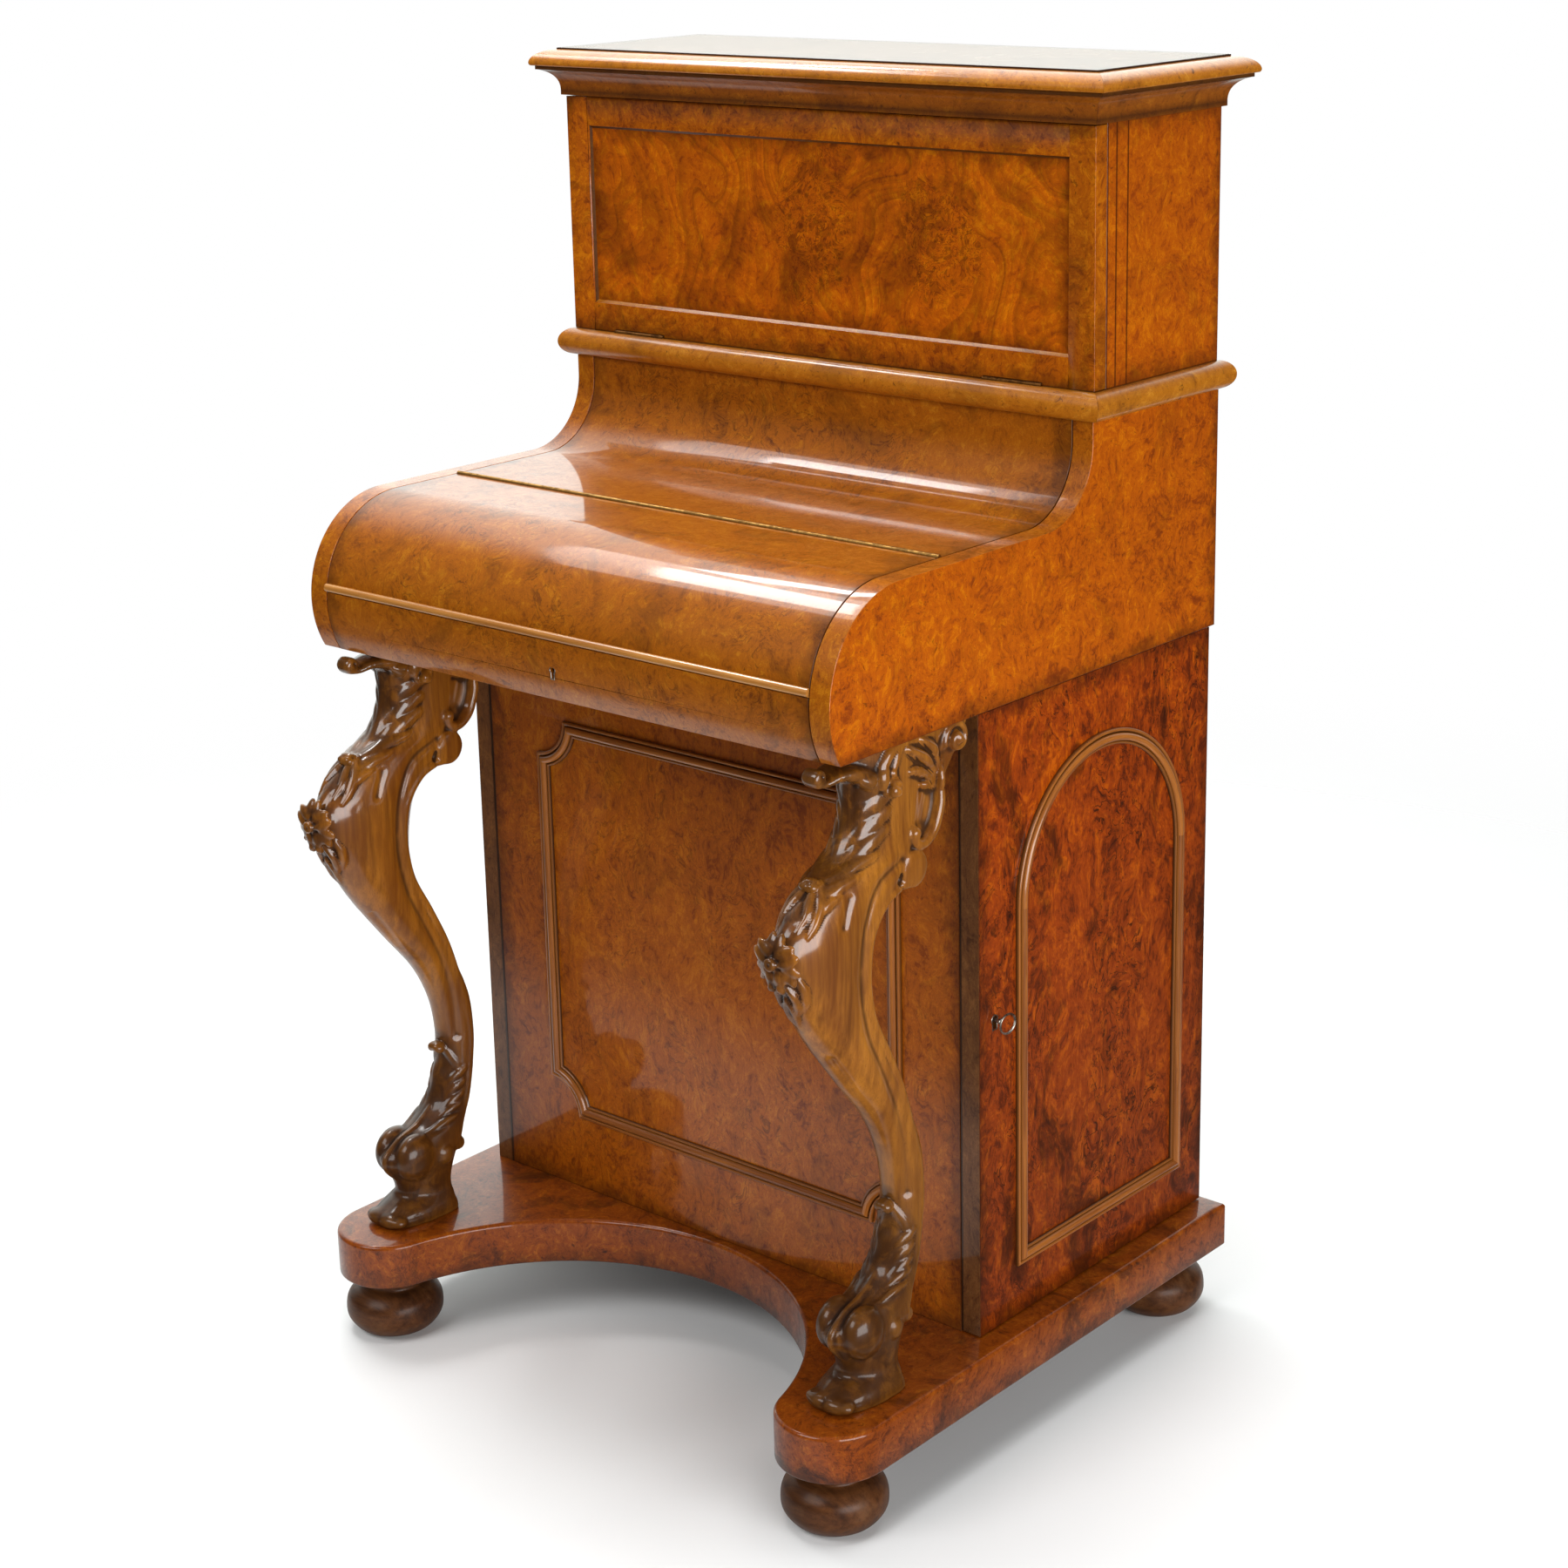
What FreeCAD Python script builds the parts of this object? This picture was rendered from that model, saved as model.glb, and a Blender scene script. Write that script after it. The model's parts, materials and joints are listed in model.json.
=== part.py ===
import FreeCAD, Part
import math
import os

# Davenport desk with a piano lid: a pedestal of drawers behind a side door, two carved
# front legs on a shaped plinth, a writing case with a folding curved lid over a sliding
# writing board, and a stationery cabinet with a fall front on top.
# Millimetres, +Z up, +X to the desk's right, -Y to the front. The origin is on the floor,
# in the middle of the desk's width and depth.

# Overall sizes
desk_width = 580.0
desk_depth = 581.0
foot_height = 58.0
plinth_thickness = 42.0
pedestal_height = 544.0
case_rise = 208.0
bead_thickness = 24.5
upper_height = 212.0
cornice_cove_height = 23.0
top_thickness = 19.0

# Working gaps
seam_gap = 0.6
slide_gap = 0.3
swing_gap = 1.2
cut_overrun = 4.0

# Bun feet
foot_radius = 44.0
foot_sole_radius = 27.0
foot_neck_radius = 27.0
foot_collar_radius = 34.0
foot_rear_inset = 40.0
foot_widest_share = 0.40
foot_shoulder_share = 0.76
foot_neck_share = 0.87

# Plinth
plinth_side_overhang = 22.95
plinth_back_overhang = 7.6
plinth_set_back = 16.1
plinth_lobe_radius = 48.0
plinth_hollow_depth = 201.0
plinth_top_arris = 4.0
plinth_foot_arris = 2.5

# Pedestal
pedestal_inset = 2.2
pedestal_depth = 331.7
pedestal_panel = 18.0
pedestal_side = 20.0
pedestal_floor_thickness = 16.0
pedestal_top_thickness = 16.0

# Mouldings on the pedestal
moulding_width = 14.0
moulding_height = 6.0
moulding_round = 2.4
front_moulding_margin = 79.8
front_moulding_foot = 72.0
front_moulding_head = 89.0
front_moulding_corner = 34.0
arch_front_margin = 49.5
arch_back_margin = 38.2
arch_foot = 47.0
arch_head = 56.0

# Drawers behind the side door
drawer_count = 4
drawer_setback = 30.0
drawer_tail_gap = 65.6
drawer_front_thickness = 18.0
drawer_wall = 9.0
drawer_bottom_thickness = 6.0
drawer_wall_drop = 12.0
drawer_guide_front = 22.0
drawer_guide_rear = 25.0
dust_board_thickness = 10.0
knob_radius = 11.0
knob_neck_radius = 5.0
knob_length = 20.0
knob_neck_share = 0.35
knob_widest_share = 0.68
knob_crown_share = 0.3

# Door lock and key
keyhole_inset = 21.0
keyhole_rise = 279.0
lock_case_width = 40.0
lock_case_height = 50.0
lock_case_depth = 10.0
lock_front_margin = 4.0
lock_floor = 2.0
key_shank_radius = 2.1
key_running_gap = 0.08
keyhole_room = 1.4
key_bit_length = 6.0
key_bit_thickness = 2.0
key_bit_gap = 0.6
key_collar_radius = 3.4
key_collar_length = 2.0
key_stand_off = 1.0
key_bow_radius = 8.0
key_bow_wire = 1.5
bolt_offset = 10.0
bolt_height = 4.4
bolt_thickness = 2.5
bolt_length = 16.0
bolt_throw = 6.0
bolt_gap = 0.15
bolt_cover = 2.9
link_thickness = 2.4
link_reach = 7.4
link_rim = 2.4
link_plate_thickness = 1.5
link_plate_height = 30.0
link_plate_width = 12.0
link_clearance = 1.2
link_setback = 9.0

# Writing case
cheek_thickness = 20.0
cheek_set_back = 4.7
nose_set_back = 43.2
case_flat_rise = 128.5
nose_radius = 85.0
cove_radius = 62.0
board_thickness = 16.0
lid_thickness = 18.0
lid_depth = 159.0
rail_height = 52.6
rail_thickness = 26.0
case_bottom_thickness = 14.0
lip_radius = 3.5

# Writing board
slide_thickness = 18.0
slide_front_inset = 35.0
slide_length = 290.0
slide_nosing = 5.0
runner_width = 20.0
runner_height = 13.0
leather_margin = 34.0
leather_thickness = 1.2

# Lid lock
lid_lock_width = 56.0
lid_lock_height = 36.0
lid_lock_depth = 15.0
lid_bolt_width = 14.0
lid_bolt_thickness = 3.0
lid_bolt_length = 24.0
lid_bolt_throw = 6.0
lid_bolt_pocket = 8.0
lid_bolt_inset = 12.0
lid_bolt_drop = 0.5
lid_keyhole_radius = 2.4
lid_keyhole_drop = 24.0
lid_keyhole_slot = 7.0
lid_keyhole_slot_width = 2.6

# Brass hinges: radius of knuckle, pin and leaf
knuckle_radius = 2.2
door_knuckle_radius = 3.2
pin_share = 0.46
pin_gap = 0.05
knuckle_clearance = 0.35
knuckle_end_gap = 0.15
leaf_thickness = 1.2
lid_leaf_width = 13.0
lid_leaf_gap = 0.4
lid_knuckle_count = 13
butt_leaf_width = 15.0
butt_length = 60.0
butt_knuckle_count = 3
door_hinge_shares = (0.14, 0.86)
fall_hinge_shares = (-0.72, 0.72)

# Stationery cabinet
upper_overhang = 0.9
upper_depth = 180.2
upper_side_thickness = 18.0
upper_back_thickness = 10.0
fall_thickness = 15.6
fall_frame_width = 25.4
fall_recess = 4.0
fall_panel_thickness = 8.0
pigeonhole_board = 6.0
pigeonhole_shelf_rise = 66.0
pigeonhole_divider_count = 5
pigeonhole_setback = 4.0

# Cornice
top_overhang = 23.5
top_field_overhang = 4.0
thumb_fillet_reach = 15.2
thumb_fillet_height = 3.5
cove_foot_reach = 3.7
cove_foot_height = 3.5
cove_reach = 14.4
cove_sag_share = 0.20

# Carved legs
leg_width = 56.0
flower_radius = 21.0
flower_height_share = 0.758
flower_depth = 34.0
# Sections of the leg from its base up: height, place of the middle in front of the
# pedestal, half depth, and width, as shares of leg height, leg reach, leg reach, leg width.
leg_section_shares = (
    (0.000, 0.540, 0.200, 1.00),
    (0.023, 0.558, 0.204, 1.00),
    (0.049, 0.518, 0.134, 0.86),
    (0.078, 0.526, 0.150, 0.90),
    (0.115, 0.526, 0.203, 0.93),
    (0.148, 0.474, 0.186, 0.86),
    (0.180, 0.370, 0.108, 0.72),
    (0.221, 0.326, 0.096, 0.68),
    (0.299, 0.308, 0.091, 0.68),
    (0.363, 0.333, 0.093, 0.68),
    (0.429, 0.401, 0.104, 0.72),
    (0.497, 0.508, 0.128, 0.80),
    (0.571, 0.614, 0.164, 0.90),
    (0.628, 0.678, 0.190, 0.95),
    (0.696, 0.694, 0.238, 1.00),
    (0.745, 0.672, 0.274, 1.00),
    (0.779, 0.602, 0.318, 1.00),
    (0.823, 0.499, 0.310, 0.96),
    (0.883, 0.372, 0.266, 0.94),
    (0.942, 0.359, 0.302, 0.96),
    (0.978, 0.397, 0.368, 1.00),
    (1.000, 0.400, 0.376, 1.00),
)

# Heights
z_plinth = foot_height
z_pedestal = z_plinth + plinth_thickness
z_case = z_pedestal + pedestal_height
z_bead = z_case + case_rise
z_upper = z_bead + bead_thickness
z_cornice = z_upper + upper_height
z_top_board = z_cornice + cornice_cove_height
z_top = z_top_board + top_thickness
z_flat = z_case + case_flat_rise
z_rail = z_case + rail_height
z_lid_edge = z_rail + seam_gap

# Depths, the back of the carcass first
y_front = -desk_depth / 2
y_back = desk_depth / 2 - top_overhang
y_cheek_back = y_back + cheek_set_back
y_plinth_back = y_back + plinth_back_overhang
y_plinth_front = y_front + plinth_set_back
y_pedestal = y_back - pedestal_depth
y_fall = y_back - upper_depth
y_cabinet = y_fall + fall_thickness + slide_gap
y_nose = y_front + nose_set_back
y_nose_centre = y_nose + nose_radius
z_nose_centre = z_flat - nose_radius
y_cove_centre = y_fall - cove_radius
z_cove_centre = z_flat + cove_radius
y_hinge = y_nose + lid_depth
y_lid_rear = y_hinge - lid_leaf_gap / 2 - leaf_thickness
y_hood_front = y_hinge + lid_leaf_gap / 2 + leaf_thickness
y_rail_back = y_nose + rail_thickness
y_case_back = y_cheek_back - board_thickness

# Half widths
x_desk = desk_width / 2
x_case = x_desk - cheek_thickness
x_pedestal = x_desk - pedestal_inset
x_carcass = x_pedestal - pedestal_side
x_plinth = x_pedestal + plinth_side_overhang
x_upper = x_desk + upper_overhang
x_cabinet = x_upper - upper_side_thickness
x_leg = x_plinth - plinth_lobe_radius
x_door_inside = x_carcass + seam_gap
y_lobe = y_plinth_front + plinth_lobe_radius


def point(y, z, x=0):
    return FreeCAD.Vector(x, y, z)


def line(a, b):
    return Part.LineSegment(a, b).toShape()


def arc(a, middle, b):
    return Part.Arc(a, middle, b).toShape()


def face(edges):
    return Part.Face(Part.Wire(edges))


def polygon(points):
    return Part.Face(Part.makePolygon(list(points) + [points[0]]))


def box(x0, x1, y0, y1, z0, z1):
    return Part.makeBox(x1 - x0, y1 - y0, z1 - z0, FreeCAD.Vector(x0, y0, z0))


def along_x(section, x0, x1):
    """Extrude a section in the plane x = 0 from x0 to x1."""
    solid = section.extrude(FreeCAD.Vector(x1 - x0, 0, 0))
    solid.translate(FreeCAD.Vector(x0, 0, 0))
    return solid


def rod_x(radius, x0, x1, y, z):
    return Part.makeCylinder(radius, x1 - x0, FreeCAD.Vector(x0, y, z), FreeCAD.Vector(1, 0, 0))


def mirrored(shape):
    return shape.mirror(FreeCAD.Vector(0, 0, 0), FreeCAD.Vector(1, 0, 0))


def group(shapes):
    return Part.makeCompound(list(shapes))


# Base

def bun_foot():
    """A flattened bun with a sole, a narrow neck and a collar, turned about Z."""
    shoulder = foot_height * foot_shoulder_share
    neck = foot_height * foot_neck_share
    outline = [
        line(point(0, 0), FreeCAD.Vector(foot_sole_radius, 0, 0)),
        arc(FreeCAD.Vector(foot_sole_radius, 0, 0),
            FreeCAD.Vector(foot_radius, 0, foot_height * foot_widest_share),
            FreeCAD.Vector(foot_neck_radius, 0, shoulder)),
        line(FreeCAD.Vector(foot_neck_radius, 0, shoulder), FreeCAD.Vector(foot_neck_radius, 0, neck)),
        line(FreeCAD.Vector(foot_neck_radius, 0, neck), FreeCAD.Vector(foot_collar_radius, 0, foot_height)),
        line(FreeCAD.Vector(foot_collar_radius, 0, foot_height), point(0, foot_height)),
        line(point(0, foot_height), point(0, 0)),
    ]
    return face(outline).revolve(FreeCAD.Vector(0, 0, 0), FreeCAD.Vector(0, 0, 1), 360)


def bun_feet():
    feet = []
    for x in (-x_leg, x_leg):
        for y in (y_lobe, y_plinth_back - foot_rear_inset):
            foot = bun_foot()
            foot.translate(FreeCAD.Vector(x, y, 0))
            feet.append(foot)
    return group(feet)


def plinth():
    """A board with two round front lobes and a round hollow that is tangent to both."""
    r = plinth_lobe_radius
    y_hollow = y_plinth_front + plinth_hollow_depth
    rise = y_hollow - y_lobe
    hollow = (x_leg ** 2 + rise ** 2 - r ** 2) / (2 * (r + rise))
    centre = y_hollow - hollow
    share = hollow / (hollow + r)
    x_touch = x_leg * share
    y_touch = centre + (y_lobe - centre) * share
    turn = math.atan2(y_touch - y_lobe, x_touch - x_leg)
    middle = (turn - 2 * math.pi) / 2 if turn > 0 else turn / 2
    z = z_plinth
    right_side = point(y_lobe, z, x_plinth)
    right_nose = point(y_lobe + r * math.sin(middle), z, x_leg + r * math.cos(middle))
    left_nose = point(right_nose.y, z, -right_nose.x)
    edges = [
        line(point(y_plinth_back, z, -x_plinth), point(y_plinth_back, z, x_plinth)),
        line(point(y_plinth_back, z, x_plinth), right_side),
        arc(right_side, right_nose, point(y_touch, z, x_touch)),
        arc(point(y_touch, z, x_touch), point(y_hollow, z, 0), point(y_touch, z, -x_touch)),
        arc(point(y_touch, z, -x_touch), left_nose, point(y_lobe, z, -x_plinth)),
        line(point(y_lobe, z, -x_plinth), point(y_plinth_back, z, -x_plinth)),
    ]
    board = face(edges).extrude(FreeCAD.Vector(0, 0, plinth_thickness))
    top = [e for e in board.Edges if e.BoundBox.ZMin > z_pedestal - plinth_top_arris]
    foot = [e for e in board.Edges if e.BoundBox.ZMax < z_plinth + plinth_foot_arris]
    return board.makeFillet(plinth_top_arris, top).makeFillet(plinth_foot_arris, foot)


def carved_leg():
    """The right leg: a loft through level ellipses along an S, with the flower's boss on the knee."""
    reach = y_pedestal - y_front
    wires = []
    for height_share, middle_share, depth_share, width_share in leg_section_shares:
        half_width = leg_width / 2 * width_share
        half_depth = reach * depth_share
        centre = point(y_pedestal - reach * middle_share, z_pedestal + pedestal_height * height_share, x_leg)
        frame = FreeCAD.Rotation(FreeCAD.Vector(0, 0, 1), 90)
        major, minor = max(half_width, half_depth), min(half_width, half_depth)
        ellipse = Part.Ellipse(FreeCAD.Vector(0, 0, 0), major, minor).toShape()
        angle = frame if half_depth >= half_width else FreeCAD.Rotation()
        ellipse.Placement = FreeCAD.Placement(centre, angle)
        wires.append(Part.Wire([ellipse]))
    leg = Part.makeLoft(wires, True, False)
    z_flower = z_pedestal + pedestal_height * flower_height_share
    boss = Part.makeCylinder(flower_radius, flower_depth, point(y_front, z_flower, x_leg),
                             FreeCAD.Vector(0, 1, 0))
    return leg.fuse(boss).removeSplitter()


# Hinges

def hinge(length, radius, leaf_width, leaf_gap, count):
    """A closed hinge on the X axis with its leaves hanging down: the +Y leaf, the -Y leaf and the pin."""
    pin_radius = radius * pin_share
    pitch = length / count
    barrel = rod_x(radius + knuckle_clearance, -length / 2 - cut_overrun, length / 2 + cut_overrun, 0, 0)
    bore = rod_x(pin_radius + pin_gap, -length / 2 - cut_overrun, length / 2 + cut_overrun, 0, 0)
    leaves = []
    for side in (1, -1):
        near = side * leaf_gap / 2
        far = side * (leaf_gap / 2 + leaf_thickness)
        plate = box(-length / 2, length / 2, min(near, far), max(near, far), -leaf_width, 0)
        solids = [plate.cut(barrel)]
        for index in range(count):
            if (index % 2 == 0) == (side > 0):
                x0 = -length / 2 + index * pitch + knuckle_end_gap / 2
                x1 = x0 + pitch - knuckle_end_gap
                neck = box(x0, x1, min(near, far), max(near, far), -leaf_width, 0)
                solids += [neck, rod_x(radius, x0, x1, 0, 0)]
        leaf = solids[0].multiFuse(solids[1:]).cut(bore).removeSplitter()
        leaves.append(leaf)
    return leaves[0], leaves[1], rod_x(pin_radius, -length / 2, length / 2, 0, 0)


def placed(shape, turn, place):
    moved = shape.copy()
    moved.Placement = FreeCAD.Placement(place, turn)
    return moved


def swing_room(length, radius, turn, place):
    """The round channel that the boards leave for a hinge's knuckles."""
    room = rod_x(radius + knuckle_clearance, -length / 2, length / 2, 0, 0)
    return placed(room, turn, place)


LEVEL = FreeCAD.Rotation()
UPRIGHT = FreeCAD.Rotation(FreeCAD.Vector(1, 1, 1), -120)
LYING = FreeCAD.Rotation(FreeCAD.Vector(1, 0, 0), 90)

door_axis_x = x_carcass + seam_gap / 2
door_axis_y = y_back + door_knuckle_radius + knuckle_clearance
fall_axis_z = z_upper + slide_gap / 2
door_height = pedestal_height - 2 * swing_gap
lid_hinge_length = 2 * (x_case - seam_gap)


def door_hinges():
    """The door's leaves, the carcass's leaves, the pins and the channels of both butts."""
    made = hinge(butt_length, door_knuckle_radius, butt_leaf_width + door_axis_y - y_back, seam_gap,
                 butt_knuckle_count)
    spots = [FreeCAD.Vector(door_axis_x, door_axis_y, z_pedestal + swing_gap + door_height * share)
             for share in door_hinge_shares]
    door_leaves = [placed(made[0], UPRIGHT, spot) for spot in spots]
    case_leaves = [placed(made[1], UPRIGHT, spot) for spot in spots]
    pins = [placed(made[2], UPRIGHT, spot) for spot in spots]
    rooms = [swing_room(butt_length, door_knuckle_radius, UPRIGHT, spot) for spot in spots]
    return door_leaves, case_leaves, pins, rooms


def fall_hinges():
    """The fall's leaves, the waist board's leaves, the pins and the channels of both butts."""
    made = hinge(butt_length, knuckle_radius, butt_leaf_width - leaf_thickness, slide_gap, butt_knuckle_count)
    spots = [FreeCAD.Vector(x_upper * share, y_fall, fall_axis_z) for share in fall_hinge_shares]
    fall_leaves = [placed(made[0], LYING, spot) for spot in spots]
    board_leaves = [placed(made[1], LYING, spot) for spot in spots]
    pins = [placed(made[2], LYING, spot) for spot in spots]
    rooms = [swing_room(butt_length, knuckle_radius, LYING, spot) for spot in spots]
    return fall_leaves, board_leaves, pins, rooms


def lid_hinge():
    made = hinge(lid_hinge_length, knuckle_radius, lid_leaf_width, lid_leaf_gap, lid_knuckle_count)
    spot = point(y_hinge, z_flat)
    room = swing_room(lid_hinge_length + 2 * cut_overrun, knuckle_radius, LEVEL, spot)
    return [placed(shape, LEVEL, spot) for shape in made] + [room]


# Pedestal

def indented_outline(inset):
    """A rectangle in the front plane whose corners are cut in by quarter rounds."""
    x = x_pedestal - front_moulding_margin - inset
    z0 = z_pedestal + front_moulding_foot + inset
    z1 = z_case - front_moulding_head - inset
    reach = front_moulding_corner + inset
    step = math.sqrt(reach ** 2 - inset ** 2) - inset
    corners = ((x, z0, -1, 1), (x, z1, -1, -1), (-x, z1, 1, -1), (-x, z0, 1, 1))
    edges = []
    ends = []
    for cx, cz, sx, sz in corners:
        ends.append((point(y_pedestal, cz, cx + sx * step), point(y_pedestal, cz + sz * step, cx)))
    for index, (cx, cz, sx, sz) in enumerate(corners):
        on_level, on_side = ends[index]
        diagonal = reach * math.sqrt(0.5) - inset
        middle = point(y_pedestal, cz + sz * diagonal, cx + sx * diagonal)
        first, last = (on_level, on_side) if index % 2 == 0 else (on_side, on_level)
        edges.append(arc(first, middle, last))
        following = ends[(index + 1) % len(corners)]
        edges.append(line(last, following[1] if index % 2 == 0 else following[0]))
    return Part.Wire(edges)


def rounded_strip(outer, inner, out):
    """A strip between two outlines, raised along out, with its upper arrises rounded."""
    strip = Part.Face(outer).cut(Part.Face(inner)).extrude(out)
    level = outer.CenterOfMass.dot(out) + out.dot(out)
    top = [e for e in strip.Edges if all(abs(v.Point.dot(out) - level) < moulding_round for v in e.Vertexes)]
    return strip.makeFillet(moulding_round, top)


def front_moulding():
    out = FreeCAD.Vector(0, -moulding_height, 0)
    return rounded_strip(indented_outline(0), indented_outline(moulding_width), out)


def arch_outline(x, inset):
    """A round-headed outline on a side of the pedestal, drawn in by inset."""
    radius = (pedestal_depth - arch_front_margin - arch_back_margin) / 2
    y = y_pedestal + arch_front_margin + radius
    r = radius - inset
    z0 = z_pedestal + arch_foot + inset
    z1 = z_case - arch_head - radius
    return Part.Wire([
        line(point(y - r, z0, x), point(y + r, z0, x)),
        line(point(y + r, z0, x), point(y + r, z1, x)),
        arc(point(y + r, z1, x), point(y, z1 + r, x), point(y - r, z1, x)),
        line(point(y - r, z1, x), point(y - r, z0, x)),
    ])


def arch_moulding(side):
    x = side * x_pedestal
    out = FreeCAD.Vector(side * moulding_height, 0, 0)
    return rounded_strip(arch_outline(x, 0), arch_outline(x, moulding_width), out)


def front_panel(strike):
    panel = box(-x_carcass, x_carcass, y_pedestal, y_pedestal + pedestal_panel, z_pedestal, z_case)
    return panel.cut(strike)


def pedestal_back(case_leaves, rooms):
    panel = box(-x_carcass, x_carcass, y_back - pedestal_panel, y_back, z_pedestal, z_case)
    for shape in case_leaves + rooms:
        panel = panel.cut(shape)
    return panel


def left_side_panel():
    return box(-x_pedestal, -x_carcass, y_pedestal, y_back, z_pedestal, z_case)


y_bay_front = y_pedestal + pedestal_panel
y_bay_back = y_back - pedestal_panel
z_bay_floor = z_pedestal + pedestal_floor_thickness
z_bay_top = z_case - pedestal_top_thickness
y_drawer_front = y_bay_front + drawer_guide_front
y_drawer_back = y_bay_back - drawer_guide_rear
x_drawer = x_carcass - drawer_setback
x_drawer_tail = drawer_tail_gap - x_carcass
drawer_bay = (z_bay_top - z_bay_floor - (drawer_count - 1) * dust_board_thickness) / drawer_count


def pedestal_floor():
    return box(-x_carcass, x_carcass, y_bay_front, y_bay_back, z_pedestal, z_bay_floor)


def pedestal_top():
    return box(-x_carcass, x_carcass, y_bay_front, y_bay_back, z_bay_top, z_case)


def drawer_dividers():
    """Two upright guide boards and the dust boards that carry the drawers above the floor."""
    boards = [
        box(-x_carcass, x_drawer, y_bay_front, y_drawer_front, z_bay_floor, z_bay_top),
        box(-x_carcass, x_drawer, y_drawer_back, y_bay_back, z_bay_floor, z_bay_top),
    ]
    for index in range(1, drawer_count):
        z = z_bay_floor + index * drawer_bay + (index - 1) * dust_board_thickness
        boards.append(box(-x_carcass, x_drawer, y_drawer_front, y_drawer_back, z, z + dust_board_thickness))
    return group(boards)


def turned_knob(y, z):
    """A knob turned about X: a neck and a flattened ball."""
    neck = knob_length * knob_neck_share
    widest = knob_length * knob_widest_share
    start = FreeCAD.Vector(0, 0, 0)
    crown = FreeCAD.Vector(knob_length, knob_radius * knob_crown_share, 0)
    outline = [
        line(start, FreeCAD.Vector(0, knob_neck_radius, 0)),
        line(FreeCAD.Vector(0, knob_neck_radius, 0), FreeCAD.Vector(neck, knob_neck_radius, 0)),
        arc(FreeCAD.Vector(neck, knob_neck_radius, 0), FreeCAD.Vector(widest, knob_radius, 0), crown),
        line(crown, FreeCAD.Vector(knob_length, 0, 0)),
        line(FreeCAD.Vector(knob_length, 0, 0), start),
    ]
    knob = face(outline).revolve(start, FreeCAD.Vector(1, 0, 0), 360)
    knob.translate(FreeCAD.Vector(x_drawer, y, z))
    return knob


def drawer(index):
    """The front with its knob, and the box of two sides, a back and a bottom, counted from the top."""
    below = drawer_count - 1 - index
    z0 = z_bay_floor + below * (drawer_bay + dust_board_thickness) + slide_gap
    z1 = z0 + drawer_bay - slide_gap - swing_gap
    y0 = y_drawer_front + seam_gap
    y1 = y_drawer_back - seam_gap
    x_inside = x_drawer_tail + drawer_wall
    x_front = x_drawer - drawer_front_thickness
    z_side = z1 - drawer_wall_drop
    front = box(x_front, x_drawer, y0, y1, z0, z1)
    knob = turned_knob((y0 + y1) / 2, (z0 + z1) / 2)
    walls = [
        box(x_drawer_tail, x_front, y0, y0 + drawer_wall, z0, z_side),
        box(x_drawer_tail, x_front, y1 - drawer_wall, y1, z0, z_side),
        box(x_drawer_tail, x_inside, y0 + drawer_wall, y1 - drawer_wall, z0, z_side),
        box(x_inside, x_front, y0 + drawer_wall, y1 - drawer_wall, z0, z0 + drawer_bottom_thickness),
    ]
    return group([front, knob]), group(walls)


# Side door, its lock and key

y_key = y_pedestal + keyhole_inset
z_key = z_pedestal + keyhole_rise
y_lock = y_pedestal + lock_front_margin
y_link = y_pedestal + link_setback
z_bolt = z_key + bolt_offset
x_bolt = x_carcass + bolt_cover
x_lock_outside = x_door_inside + lock_case_depth


def key_axis_rod(radius, x0, x1):
    return rod_x(radius, x0, x1, y_key, z_key)


def bolt_bar(gap, extra):
    y0 = y_link + link_thickness / 2 + link_clearance
    return box(x_bolt - gap, x_bolt + bolt_thickness + gap, y0 - extra, y0 + bolt_length + gap,
               z_bolt - bolt_height / 2 - gap, z_bolt + bolt_height / 2 + gap)


def door_lock_bolt():
    return bolt_bar(0, 0)


def link_strike():
    """A plate let into the front panel's edge, with the eye that the bolt passes through."""
    plate = box(x_carcass - link_plate_thickness, x_carcass, y_link - link_plate_width / 2,
                y_link + link_plate_width / 2, z_bolt - link_plate_height / 2, z_bolt + link_plate_height / 2)
    half = bolt_height / 2 + bolt_gap
    eye = box(x_carcass, x_carcass + link_reach, y_link - link_thickness / 2, y_link + link_thickness / 2,
              z_bolt - half - link_rim, z_bolt + half + link_rim)
    hole = box(x_bolt - 2 * bolt_gap, x_bolt + bolt_thickness + 2 * bolt_gap, y_link - link_thickness,
               y_link + link_thickness, z_bolt - half, z_bolt + half)
    return plate.fuse(eye.cut(hole)).removeSplitter()


def lock_block():
    return box(x_door_inside, x_lock_outside, y_lock, y_lock + lock_case_width,
               z_key - lock_case_height / 2, z_key + lock_case_height / 2)


def keyhole(x0, x1, room):
    """The round hole for the shank and the slot below it for the bit, both wider all round by room."""
    radius = key_shank_radius + key_running_gap + room
    half = key_bit_thickness / 2 + key_running_gap + room
    slot = box(x0, x1, y_key - half, y_key + half, z_key - key_bit_length - key_bit_gap - room, z_key)
    return key_axis_rod(radius, x0, x1).fuse(slot)


def door_lock_case():
    half = bolt_height / 2 + bolt_gap + link_rim + link_clearance
    eye_room = box(x_door_inside - cut_overrun, x_carcass + link_reach + link_clearance,
                   y_link - link_thickness / 2 - link_clearance, y_link + link_thickness / 2 + link_clearance,
                   z_bolt - half, z_bolt + half)
    bit_room = key_axis_rod(key_bit_length + key_bit_gap, x_door_inside + lock_floor,
                            x_lock_outside - lock_floor)
    block = lock_block()
    for room in (eye_room, bolt_bar(bolt_gap, bolt_throw + bolt_gap), bit_room,
                 keyhole(x_door_inside + lock_floor, x_lock_outside + cut_overrun, 0)):
        block = block.cut(room)
    return block


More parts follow.
